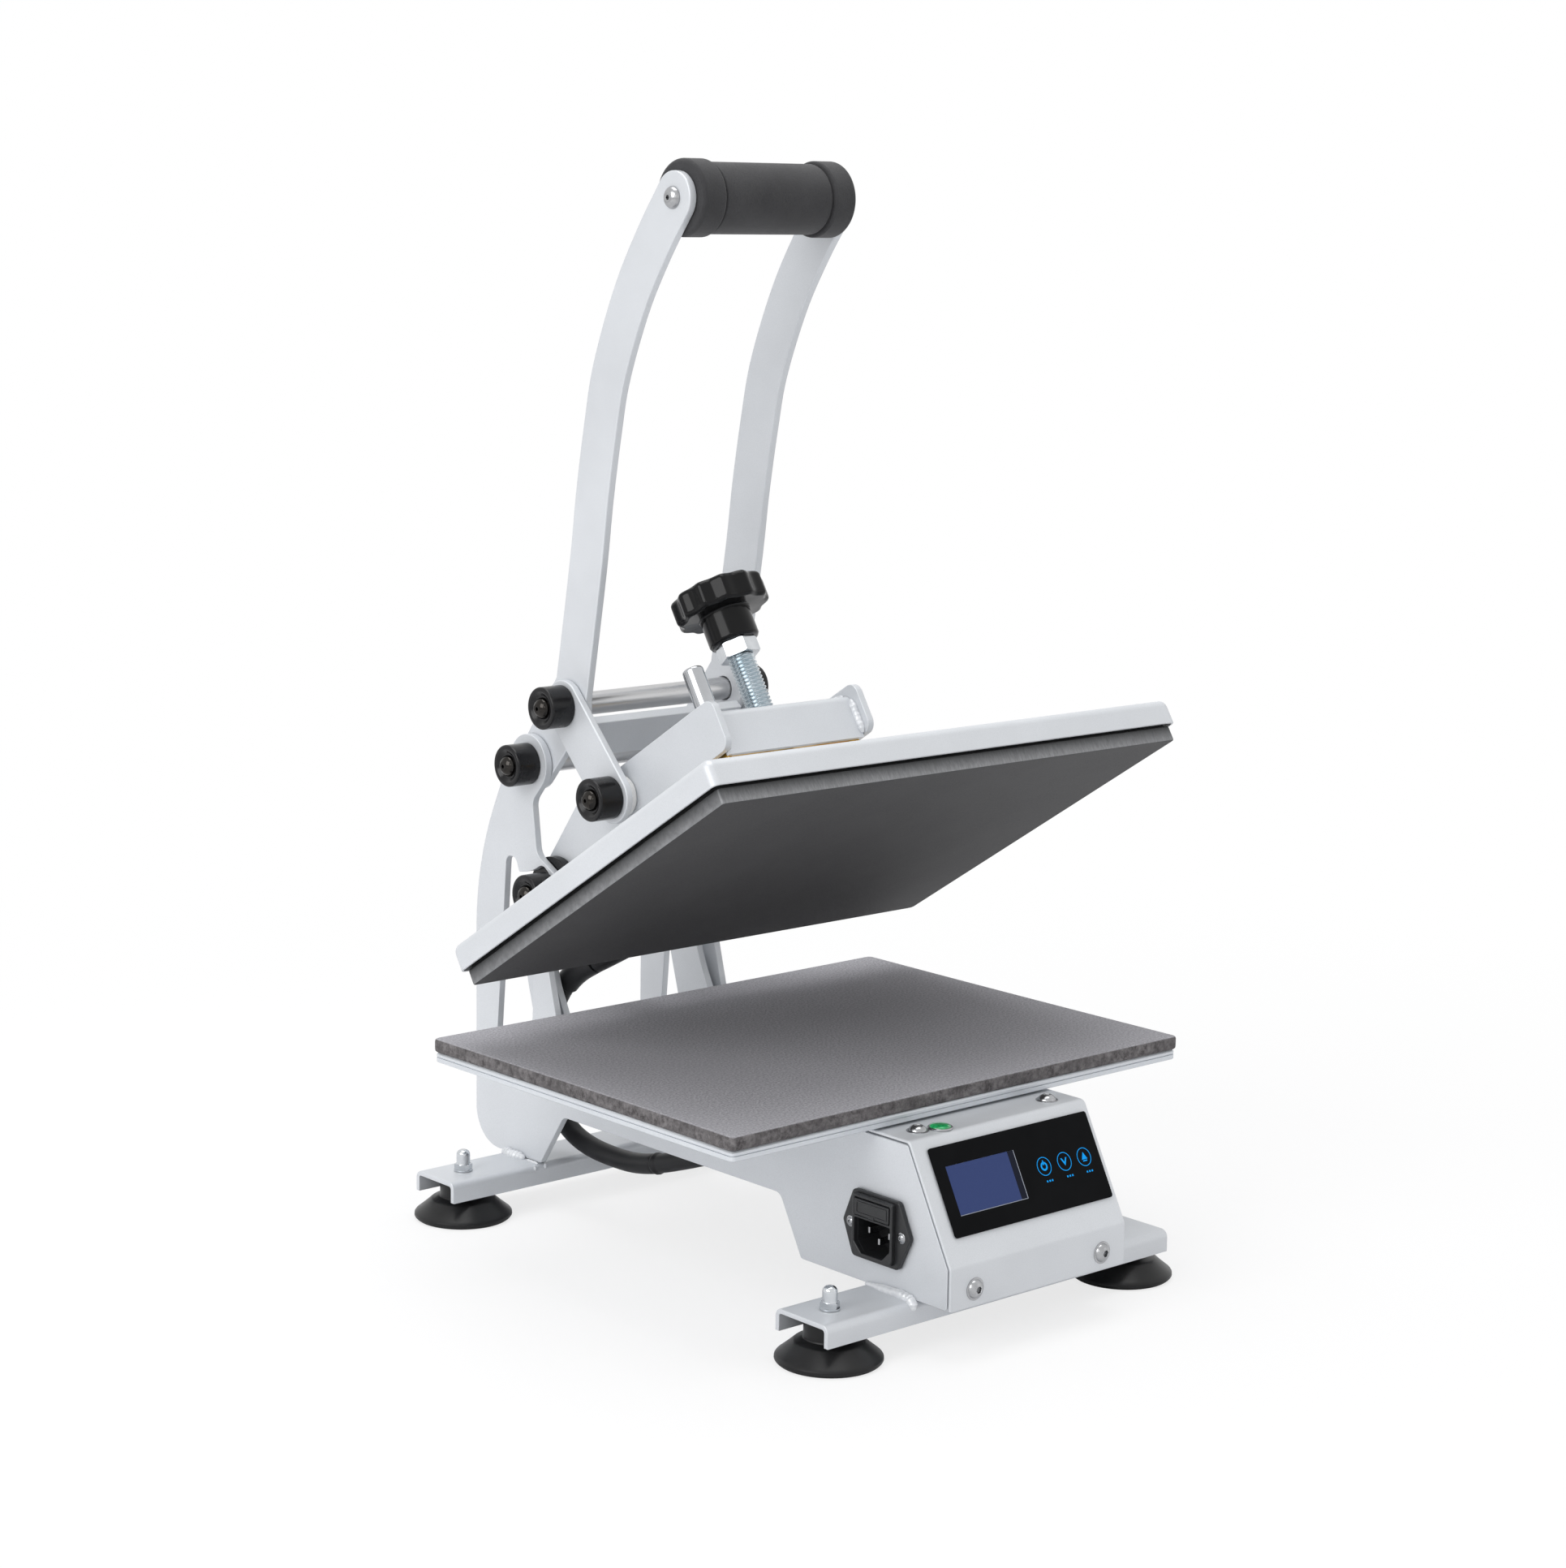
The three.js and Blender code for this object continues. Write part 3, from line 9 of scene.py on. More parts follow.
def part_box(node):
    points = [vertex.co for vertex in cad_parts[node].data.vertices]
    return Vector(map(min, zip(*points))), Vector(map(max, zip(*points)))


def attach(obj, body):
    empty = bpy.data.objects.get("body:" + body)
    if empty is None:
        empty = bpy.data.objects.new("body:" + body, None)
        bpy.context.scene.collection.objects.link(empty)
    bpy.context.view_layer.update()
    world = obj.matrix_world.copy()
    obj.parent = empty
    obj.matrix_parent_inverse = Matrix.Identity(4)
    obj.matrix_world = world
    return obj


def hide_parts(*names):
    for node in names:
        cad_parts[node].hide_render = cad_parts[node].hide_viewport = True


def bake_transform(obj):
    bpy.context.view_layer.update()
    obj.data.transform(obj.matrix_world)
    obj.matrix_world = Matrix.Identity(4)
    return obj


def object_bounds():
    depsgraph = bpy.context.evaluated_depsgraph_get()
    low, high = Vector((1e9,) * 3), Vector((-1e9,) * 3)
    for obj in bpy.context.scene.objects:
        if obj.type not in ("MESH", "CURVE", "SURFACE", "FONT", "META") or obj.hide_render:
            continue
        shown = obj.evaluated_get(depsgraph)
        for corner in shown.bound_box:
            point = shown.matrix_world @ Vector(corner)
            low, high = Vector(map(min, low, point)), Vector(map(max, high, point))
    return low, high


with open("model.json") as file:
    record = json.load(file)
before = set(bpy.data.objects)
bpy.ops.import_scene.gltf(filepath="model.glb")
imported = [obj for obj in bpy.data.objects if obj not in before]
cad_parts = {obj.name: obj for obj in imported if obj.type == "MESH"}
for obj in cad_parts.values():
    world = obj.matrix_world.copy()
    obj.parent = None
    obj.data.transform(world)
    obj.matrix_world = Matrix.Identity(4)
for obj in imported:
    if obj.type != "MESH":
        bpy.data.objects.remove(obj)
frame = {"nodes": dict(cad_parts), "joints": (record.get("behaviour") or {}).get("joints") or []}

cad_low, cad_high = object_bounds()
pivots = {joint["name"]: Vector(joint["pos_m"]) for joint in frame["joints"] if "pos_m" in joint}
scene = bpy.context.scene
scene.view_settings.view_transform = "Standard"

# Camera
# A long lens looks at the press from its left front corner, from about the height of the grip.
# Its turn, height and distance come from the edges of the pad, the table and the uprights.
pad_low, pad_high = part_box("rubber_pad")
pad_middle_y = (pad_low.y + pad_high.y) / 2
camera_turn = math.radians(41.77)
camera_rise = math.radians(10.0)
camera_roll = math.radians(0.89)
camera_distance = 1.6493
camera_lens = 76.55
camera_film = 36
camera_near = 0.05
camera_target = Vector((-0.02, pad_middle_y, 0.246))

towards = Vector((
    -math.sin(camera_turn) * math.cos(camera_rise),
    -math.cos(camera_turn) * math.cos(camera_rise),
    math.sin(camera_rise),
))
level = Vector((math.cos(camera_turn), -math.sin(camera_turn), 0))
upright = towards.cross(level)
to_right = level * math.cos(camera_roll) + upright * math.sin(camera_roll)
to_top = upright * math.cos(camera_roll) - level * math.sin(camera_roll)
camera_data = bpy.data.cameras.new("camera")
camera_data.lens = camera_lens
camera_data.sensor_width = camera_film
camera_data.clip_start = camera_near
camera = bpy.data.objects.new("camera", camera_data)
camera.matrix_world = Matrix.Translation(camera_target + towards * camera_distance) @ Matrix(
    (to_right, to_top, towards)).transposed().to_4x4()
scene.collection.objects.link(camera)
scene.camera = camera


# Studio
# White paper, lit by a wide soft lamp from the left and one from above, with a weak one at the
# right and a small one for glints. The paper glows more farther out, and keeps the shadow.
class Value:
    """A shader socket that can be used in an expression."""

    def __init__(self, surface, socket):
        self.surface = surface
        self.socket = socket

    def math(self, operation, first, second):
        return self.surface.node("ShaderNodeMath", {"operation": operation}, {0: first, 1: second})

    def __add__(self, other):
        return self.math("ADD", self, other)

    def __mul__(self, other):
        return self.math("MULTIPLY", self, other)

    __radd__ = __add__
    __rmul__ = __mul__


class Surface:
    """A material, or the world, built from nodes."""

    def __init__(self, name, owner=None):
        self.owner = owner or bpy.data.materials.new(name)
        self.owner.use_nodes = True
        self.tree = self.owner.node_tree
        self.tree.nodes.clear()

    def node(self, kind, settings=None, sockets=None, output=0):
        made = self.tree.nodes.new(kind)
        for key, value in (settings or {}).items():
            setattr(made, key, value)
        for key, value in (sockets or {}).items():
            if isinstance(value, Value):
                self.tree.links.new(value.socket, made.inputs[key])
            else:
                made.inputs[key].default_value = value
        return Value(self, made.outputs[output])

    def noise(self, scale, detail=2.0, roughness=0.5, stretch=(1, 1, 1)):
        spot = self.node("ShaderNodeTexCoord", output="Object")
        spot = self.node("ShaderNodeMapping", {"vector_type": "POINT"}, {"Vector": spot, "Scale": stretch})
        return self.node("ShaderNodeTexNoise", None, {
            "Vector": spot, "Scale": scale, "Detail": detail, "Roughness": roughness})

    def dot(self, vector, direction):
        return self.node("ShaderNodeVectorMath", {"operation": "DOT_PRODUCT"}, {0: vector, 1: direction}, 1)

    def mix(self, share, first, second):
        colours = [value if isinstance(value, Value) else (*value, 1) for value in (first, second)]
        return self.node("ShaderNodeMix", {"data_type": "RGBA"}, {0: share, 6: colours[0], 7: colours[1]}, 2)

    def spread(self, value, low, high, to_low, to_high):
        return self.node("ShaderNodeMapRange", None, {
            "Value": value, "From Min": low, "From Max": high, "To Min": to_low, "To Max": to_high})

    def fleck(self, pattern, low, high, share, first, second):
        """The first colour, with up to a share of the second where the pattern is high."""
        return self.mix(self.spread(pattern, low, high, 0, share), first, second)

    def bump(self, height, distance, strength):
        return self.node("ShaderNodeBump", None, {
            "Height": height, "Distance": distance, "Strength": strength})

    def output(self, shader, kind="ShaderNodeOutputMaterial"):
        end = self.tree.nodes.new(kind)
        self.tree.links.new(shader.socket, end.inputs[0])
        return self.owner

    def finish(self, colour, **sockets):
        named = {key.replace("_", " "): value for key, value in sockets.items()}
        return self.output(self.node("ShaderNodeBsdfPrincipled", None, {"Base Color": colour, **named}))


def linear(red, green, blue):
    """A colour as it looks on screen, 0 to 255, in the renderer's linear values."""
    shares = [value / 255 for value in (red, green, blue)]
    return tuple(share / 12.92 if share <= 0.04 else ((share + 0.055) / 1.055) ** 2.4 for share in shares)


def scaled(colour, by, lift=0.0):
    return tuple(part * by + lift for part in colour)


shadow_reach = 0.3
white_reach = 1.0
near_glow = 0.75
paper_half = 4.0
pure_white = (1, 1, 1, 1)
paper_white = (*linear(247, 247, 248), 1)

paper = Surface("studio_paper")
seen = paper.node("ShaderNodeLightPath", output="Is Camera Ray")
paper_spot = paper.node("ShaderNodeTexCoord", output="Object")
paper_far = paper.node("ShaderNodeVectorMath", {"operation": "LENGTH"}, {0: paper_spot}, 1)
paper_glow = paper.node("ShaderNodeMapRange", {"interpolation_type": "SMOOTHSTEP"}, {
    "Value": paper_far, "From Min": shadow_reach, "From Max": white_reach,
    "To Min": near_glow, "To Max": 1.0})
paper_diffuse = paper.node("ShaderNodeBsdfDiffuse", None, {"Color": paper_white})
paper_light = paper.node("ShaderNodeEmission", None, {"Color": pure_white, "Strength": 1.0})
paper_mixed = paper.node("ShaderNodeMixShader", None, {
    0: seen * paper_glow, 1: paper_diffuse, 2: paper_light})

paper_mesh = bpy.data.meshes.new("studio_floor")
paper_corners = [(-1, -1), (1, -1), (1, 1), (-1, 1)]
paper_mesh.from_pydata([(x * paper_half, y * paper_half, 0) for x, y in paper_corners], [], [(0, 1, 2, 3)])
paper_mesh.materials.append(paper.output(paper_mixed))
studio_floor = bpy.data.objects.new("studio_floor", paper_mesh)
scene.collection.objects.link(studio_floor)

air_light = 0.58
air = Surface("studio_air", bpy.data.worlds.new("studio_air"))
by_camera, by_glass, by_gloss = (air.node("ShaderNodeLightPath", output=f"Is {word} Ray")
                                 for word in ("Camera", "Transmission", "Glossy"))
white_seen = air.spread(by_camera + by_glass + by_gloss, 0, 1, air_light, 1.0)
air_glow = air.node("ShaderNodeBackground", None, {"Color": pure_white, "Strength": white_seen})
scene.world = air.output(air_glow, "ShaderNodeOutputWorld")

lamp_aim = Vector((0, 0, 0.25))


def softbox(name, spot, size, power):
    data = bpy.data.lights.new(name, "AREA")
    data.shape = "SQUARE"
    data.size = size
    data.energy = power
    lamp = bpy.data.objects.new(name, data)
    away = Vector(spot) - lamp_aim
    lamp.matrix_world = Matrix.Translation(spot) @ away.to_track_quat("Z", "Y").to_matrix().to_4x4()
    scene.collection.objects.link(lamp)


softbox("left_softbox", (-2.2, -0.3, 1.4), size=1.5, power=25)
softbox("top_softbox", (0.1, 0.2, 2.4), size=1.6, power=25)
softbox("right_softbox", (1.5, -1.9, 0.9), size=1.2, power=1)
softbox("glint_lamp", (-1.7, -1.5, 1.1), size=0.16, power=1.2)


# Side sheets
# Two sheets of 4 mm steel, cut in one outline from the control box to the pivot lobes, with a slot
# in the upright. They are powder coated in a satin silver grey with a fine orange peel.
def powder_coat(name):
    surface = Surface(name)
    peel = surface.noise(900)
    cloud = surface.noise(14, 3.0, 0.6)
    speck = surface.noise(2600, 1.0)
    pale = surface.fleck(cloud, 0.3, 0.7, 1, linear(207, 210, 214), linear(216, 219, 223))
    colour = surface.fleck(speck, 0.35, 0.75, 0.35, pale, linear(191, 194, 198))
    return surface.finish(
        colour, Metallic=0.28, Roughness=surface.spread(cloud, 0.3, 0.7, 0.4, 0.48),
        Specular_IOR_Level=0.5, Normal=surface.bump(peel, 0.00012, 0.35))


coat = powder_coat("silver_powder_coat"), "powder_coat"
hands = ((-1, "left"), (1, "right"))


def arc(centre, radius, start, end, step=math.radians(6)):
    count = max(2, round(abs(end - start) / step))
    turns = [start + (end - start) * i / count for i in range(count + 1)]
    return [(centre[0] + radius * math.cos(t), centre[1] + radius * math.sin(t)) for t in turns]


def circle(centre, radius):
    return arc(centre, radius, 0, 2 * math.pi)[1:]


def rounded(corners, step=math.radians(6)):
    """An outline whose corners are (a, b) or (a, b, radius)."""
    points = []
    for i, (a, b, *radius) in enumerate(corners):
        if not radius or radius[0] == 0:
            points.append((a, b))
            continue
        corner = Vector((a, b))
        back = Vector(corners[i - 1][:2]) - corner
        on = Vector(corners[(i + 1) % len(corners)][:2]) - corner
        half = back.angle(on) / 2
        reach = min(radius[0] / math.tan(half), 0.49 * min(back.length, on.length))
        fitting = reach * math.tan(half)
        middle = (back.normalized() + on.normalized()).normalized()
        centre = corner + middle * (fitting / math.sin(half))
        first = corner + back.normalized() * reach - centre
        last = corner + on.normalized() * reach - centre
        start = math.atan2(first.y, first.x)
        sweep = math.atan2(last.y, last.x) - start
        sweep = math.atan2(math.sin(sweep), math.cos(sweep))
        points.extend(arc(centre, fitting, start, start + sweep, step))
    return points


def rectangle(left, right, low, high, radius=0.0, step=math.radians(9)):
    return rounded([(left, low, radius), (right, low, radius), (right, high, radius),
                    (left, high, radius)], step)


def touching(point, centre, radius, side):
    """The angle on a circle at which a line from the point touches it."""
    away = math.atan2(point[1] - centre[1], point[0] - centre[0])
    return away + side * math.acos(radius / math.dist(point, centre))


def beside(path, by):
    """A line of points moved to its left."""
    line = []
    for i, point in enumerate(path):
        here = Vector(point)
        back = (here - Vector(path[i - 1])).normalized() if i > 0 else (Vector(path[1]) - here).normalized()
        on = (Vector(path[i + 1]) - here).normalized() if i < len(path) - 1 else back
        lean = 1 + back.dot(on)
        line.append((here.x - by * (back.y + on.y) / lean, here.y + by * (back.x + on.x) / lean))
    return line


facing = {
    "x": Matrix(((0, 0, 1, 0), (1, 0, 0, 0), (0, 1, 0, 0), (0, 0, 0, 1))),
    "y": Matrix(((1, 0, 0, 0), (0, 0, -1, 0), (0, 1, 0, 0), (0, 0, 0, 1))),
    "z": Matrix.Identity(4),
}


def plate_mesh(outline, holes, low, high, axis="x", edge=0.0003, steps=2):
    """Sheet cut to an outline with its edges broken, between two places along an axis."""
    curve = bpy.data.curves.new("outline", "CURVE")
    curve.dimensions = "2D"
    curve.fill_mode = "BOTH"
    curve.extrude = abs(high - low) / 2 - edge
    curve.bevel_depth = edge
    curve.bevel_resolution = steps
    curve.offset = -edge
    for loop in (outline, *holes):
        spline = curve.splines.new("POLY")
        spline.points.add(len(loop) - 1)
        for point, (a, b) in zip(spline.points, loop):
            point.co = (a, b, 0, 1)
        spline.use_cyclic_u = True
    holder = bpy.data.objects.new("outline", curve)
    mesh = bpy.data.meshes.new_from_object(holder)
    bpy.data.objects.remove(holder)
    middle = (low + high) / 2
    depth = -middle if axis == "y" else middle
    mesh.transform(facing[axis] @ Matrix.Translation((0, 0, depth)))
    return mesh


def moved(mesh, matrix):
    mesh.transform(matrix)
    return mesh


def merged(meshes):
    """Several meshes as one."""
    whole = bmesh.new()
    for mesh in meshes:
        whole.from_mesh(mesh)
    result = bpy.data.meshes.new("merged")
    whole.to_mesh(result)
    whole.free()
    return result


def shaped(name, mesh, finish, crease=35, at=None):
    """A mesh put in its place and finished, smooth but for its edges. A finish is (material, slot); the slot
    is not used.
    """
    material, slot_name = finish
    if at is not None:
        mesh.transform(at)
    tidy = bmesh.new()
    tidy.from_mesh(mesh)
    bmesh.ops.remove_doubles(tidy, verts=tidy.verts, dist=1e-6)
    bmesh.ops.recalc_face_normals(tidy, faces=tidy.faces)
    tidy.to_mesh(mesh)
    tidy.free()
    mesh.name = name
    mesh.materials.clear()
    mesh.materials.append(material)
    mesh.polygons.foreach_set("use_smooth", [True] * len(mesh.polygons))
    mesh.set_sharp_from_angle(angle=math.radians(crease))
    piece = bpy.data.objects.new(name, mesh)
    scene.collection.objects.link(piece)
    level_faces = piece.modifiers.new("flat_faces", "WEIGHTED_NORMAL")
    level_faces.keep_sharp = True
    return piece


def fitted(name, mesh, finish, body, *nodes, crease=35, at=None):
    """A piece that rides on a body, in place of the nodes it stands for."""
    piece = shaped(name, mesh, finish, crease, at)
    if nodes:
        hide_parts(*nodes)
    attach(piece, body)


lever_pivot = pivots["lever_swing"]
arm_pivot = pivots["arm_close"]
crank_pin = pivots["link_turn"]
lever_spot = (lever_pivot.y, lever_pivot.z)
arm_spot = (arm_pivot.y, arm_pivot.z)
crank_spot = (crank_pin.y, crank_pin.z)

sheet_low, sheet_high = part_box("side_sheet_right")
table_low, table_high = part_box("table_plate")
frame_sheet = 0.004
frame_half = sheet_high.x
frame_inner = frame_half - frame_sheet
touch_gap = 0.0003
sheet_bottom = sheet_low.z
sheet_top = table_low.z - touch_gap
sheet_edge = 0.0004
upright_back = sheet_high.y
upright_depth = upright_back - arm_pivot.y
shaft_radius = 0.006
bore_radius = shaft_radius + touch_gap

cover_sheet = 0.0015
cover_seam = 0.0008
box_front = cad_low.y
box_top = sheet_bottom + 0.0755
box_back = box_front + 0.1032
panel_top = box_front + 0.0293
panel_foot = sheet_bottom + 0.0202
cover_back = pad_low.y + 0.009
cover_path = [(cover_back, box_top), (panel_top, box_top), (box_front, panel_foot),
              (box_front, sheet_bottom)]
under_cover = beside(cover_path, cover_sheet + cover_seam)

lever_lobe = 0.0155
arm_lobe = 0.013
waist_share = (-0.245, -1.25)
chin_share = (0.615, 1.46)
throat_share = (-0.02, -2.58)
upright_bend_share = 0.721
soft_corner = 0.002
arch_corner = 0.006
neck_corner = 0.008
heel_corner = 0.02
back_bend = 0.32
arch_top = sheet_bottom + 0.0293
arch_front = box_back + 0.0161
arch_back = pad_high.y + 0.0103
heel_front = pad_high.y + 0.03
table_end = pad_high.y + 0.0154


def lobe_point(spot, lobe, share):
    return spot[0] + lobe * share[0], spot[1] + lobe * share[1]


def side_sheet_outline():
    bend = (upright_back, sheet_bottom + (lever_spot[1] - sheet_bottom) * upright_bend_share)
    waist = lobe_point(lever_spot, lever_lobe, waist_share)
    chin = lobe_point(arm_spot, arm_lobe, chin_share)
    throat = lobe_point(arm_spot, arm_lobe, throat_share)
    lever_start = touching(bend, lever_spot, lever_lobe, 1)
    lever_end = touching(waist, lever_spot, lever_lobe, -1) + 2 * math.pi
    arm_start = touching(chin, arm_spot, arm_lobe, 1)
    arm_end = touching(throat, arm_spot, arm_lobe, -1) + 2 * math.pi
    return rounded([
        (*under_cover[3], soft_corner),
        (box_back, sheet_bottom, soft_corner),
        (arch_front, arch_top, arch_corner),
        (arch_back, arch_top, arch_corner),
        (heel_front, sheet_bottom, soft_corner),
        (upright_back, sheet_bottom, heel_corner),
        (*bend, back_bend),
        *arc(lever_spot, lever_lobe, lever_start, lever_end),
        (*waist, neck_corner),
        (*chin, neck_corner),
        *arc(arm_spot, arm_lobe, arm_start, arm_end),
        (*throat, neck_corner),
        (table_end, sheet_top, arch_corner),
        (cover_back + touch_gap, sheet_top, soft_corner),
        (cover_back + touch_gap, under_cover[0][1]),
        (*under_cover[1], soft_corner),
        (*under_cover[2], soft_corner),
    ], math.radians(3))


def upright_point(deep, high):
    return arm_spot[0] + upright_depth * deep, sheet_bottom + (arm_spot[1] - sheet_bottom) * high


def upright_outline(*corners):
    """An outline in the upright, from corners given as (share of depth, share of height, radius)."""
    return rounded([(*upright_point(deep, high), radius) for deep, high, radius in corners])


slot_outline = upright_outline(
    (0.202, 0.4, 0.006), (0.7, 0.4, 0.006), (0.596, 0.911, back_bend), (0.563, 1.101, 0.0045),
    (0.43, 1.1, 0.0045), (0.38, 1.05, 0.0012), (0.21, 1.062, 0.03), (0.05, 1.099, 0.005),
    (-0.052, 1.068, 0.002), (0, 1.055, 0.004), (0.13, 1.028, 0.005), (0.14, 0.95, 0.02))
inlet_y = box_front + 0.0482
inlet_z = sheet_bottom + 0.029
inlet_half = 0.0137
inlet_half_height = 0.0154


def at_inlet(half, low, high, radius=0.0, step=math.radians(9)):
    """A rectangle about the inlet's middle line, between two heights from its centre."""
    return rectangle(inlet_y - half, inlet_y + half, inlet_z + low, inlet_z + high, radius, step)


for side, hand in hands:
    holes = [slot_outline, circle(lever_spot, bore_radius), circle(arm_spot, bore_radius)]
    if hand == "left":
        rise = inlet_half_height + touch_gap
        holes.append(at_inlet(inlet_half + touch_gap, -rise, rise))
    sheet = plate_mesh(side_sheet_outline(), holes, side * frame_inner, side * frame_half, edge=sheet_edge)
    fitted(f"side_sheet_{hand}_sheet", sheet, coat, "base", f"side_sheet_{hand}")


# Upright braces
# A curved strap of the same sheet stands inside each upright, held off it by two spacer bosses,
# and stiffens the slotted part. It is welded on and coated with the frame.
def ringed_mesh(rings, closed=False, capped=False):
    """A skin over rings of points. A ring of one point is a tip."""
    made = bmesh.new()
    rings = [[made.verts.new(spot) for spot in ring] for ring in rings]
    pairs = list(zip(rings, rings[1:]))
    if closed:
        pairs.append((rings[-1], rings[0]))
    for lower, upper in pairs:
        for i in range(max(len(lower), len(upper))):
            j = i + 1
            corners = dict.fromkeys((lower[i % len(lower)], lower[j % len(lower)],
                                     upper[j % len(upper)], upper[i % len(upper)]))
            if len(corners) > 2:
                made.faces.new(list(corners))
    if capped:
        made.faces.new(rings[0][::-1])
        made.faces.new(rings[-1])
    mesh = bpy.data.meshes.new("ringed")
    made.to_mesh(mesh)
    made.free()
    return mesh


def turned_mesh(profile, segments=48, closed=False):
    """A round piece about Z. A profile entry is (radius, height) or a function of the angle."""
    turns = [2 * math.pi * i / segments for i in range(segments)]
    rings = []
    for entry in profile:
        if not callable(entry) and entry[0] < 1e-7:
            rings.append([(0, 0, entry[1])])
            continue
        ring = [entry(turn) if callable(entry) else entry for turn in turns]
        rings.append([(radius * math.cos(turn), radius * math.sin(turn), height)
                      for turn, (radius, height) in zip(turns, ring)])
    return ringed_mesh(rings, closed)


def pointing(direction, spot):
    """Sends Z along a direction, from a spot."""
    turn = Vector(direction).to_track_quat("Z", "Y").to_matrix().to_4x4()
    return Matrix.Translation(spot) @ turn


def rod(radius, length, edge=0.0004):
    return rounded([(0, 0), (radius, 0, edge), (radius, length, edge), (0, length)], math.radians(22))


boss_shares = ((0.04, 0.45), (0.15, 0.775))
boss_radius = 0.004
brace_gap = 0.0035
brace_sheet = 0.004
brace_outer = frame_inner - brace_gap
brace_inner = brace_outer - brace_sheet
brace_outline = upright_outline(
    (-0.22, 0.345, 0.006), (-0.19, 0.49, 0.03), (0.01, 0.65, 0.05), (0.18, 0.86, 0.008),
    (0.48, 0.833, 0.008), (0.42, 0.65, 0.04), (0.2, 0.345, 0.006))
for side, hand in hands:
    parts = [plate_mesh(brace_outline, [], side * brace_outer, side * brace_inner, edge=sheet_edge)]
    for share in boss_shares:
        boss = turned_mesh(rod(boss_radius, brace_sheet + brace_gap - touch_gap))
        parts.append(moved(boss, pointing((side, 0, 0), (side * brace_inner, *upright_point(*share)))))
    fitted(f"upright_brace_{hand}_strap", merged(parts), coat, "base", f"upright_brace_{hand}")


# Legs
# Two channels folded from 2.5 mm sheet, open below, welded across under the side sheets.
# The welds are laid by hand, ground a little and coated over, so they shine more than the sheet.
def bent_sheet(path, thickness, bend):
    """The section of a bent sheet, with its thickness on the left of the path."""
    turns = [0]
    for before, point, after in zip(path, path[1:], path[2:]):
        back = Vector(point) - Vector(before)
        on = Vector(after) - Vector(point)
        turns.append(1 if back.x * on.y - back.y * on.x > 0 else -1)
    turns.append(0)

    def bends(line, outer):
        return [(*p, bend + thickness * (turn == outer) if turn else 0) for p, turn in zip(line, turns)]

    return rounded([*bends(path, 1), *bends(beside(path, thickness), -1)[::-1]], math.radians(9))


def gloss_coat(name):
    surface = Surface(name)
    swirl = surface.noise(260, 2.0, 0.6)
    colour = surface.fleck(swirl, 0.3, 0.7, 1, linear(205, 208, 212), linear(224, 226, 229))
    return surface.finish(colour, Metallic=0.05, Roughness=0.14, Normal=surface.bump(swirl, 0.0004, 0.4),
                          Coat_Weight=0.6, Coat_Roughness=0.06)


bead_coat = gloss_coat("weld_coat"), "powder_coat"
bead_steps = 26
bead_sides = 10
bead_start_share = 0.35
puddle_pace = 0.9
flow_pace = 0.45
flow_share = 0.18


def weld_bead(name, points, radius, body, seed=0.0, lump=0.22):
    """A run of overlapping weld puddles along a line."""
    line = [Vector(p) for p in points]
    rings = []
    for i in range(bead_steps + 1):
        place = i / bead_steps * (len(line) - 1)
        k = min(int(place), len(line) - 2)
        spot = line[k].lerp(line[k + 1], place - k)
        heading = (line[k + 1] - line[k]).normalized().to_track_quat("Z", "Y").to_matrix()
        puddle = 0.8 + abs(math.sin(i * puddle_pace + seed)) * lump
        wide = radius * puddle * min(1, bead_start_share + 4 * min(i, bead_steps - i) / bead_steps)
        ring = []
        for j in range(bead_sides):
            turn = 2 * math.pi * j / bead_sides
            over = Vector((math.cos(turn), math.sin(turn), 0))
            flow = noise.noise(Vector((i * flow_pace + seed, over.x, over.y)))
            ring.append(spot + heading @ (over * wide * (1 + flow_share * flow)))
        rings.append(ring)
    bead = shaped(name, ringed_mesh(rings, capped=True), bead_coat, crease=80)
    rounder = bead.modifiers.new("rounder", "SUBSURF")
    rounder.levels = 1
    rounder.render_levels = 1
    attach(bead, body)


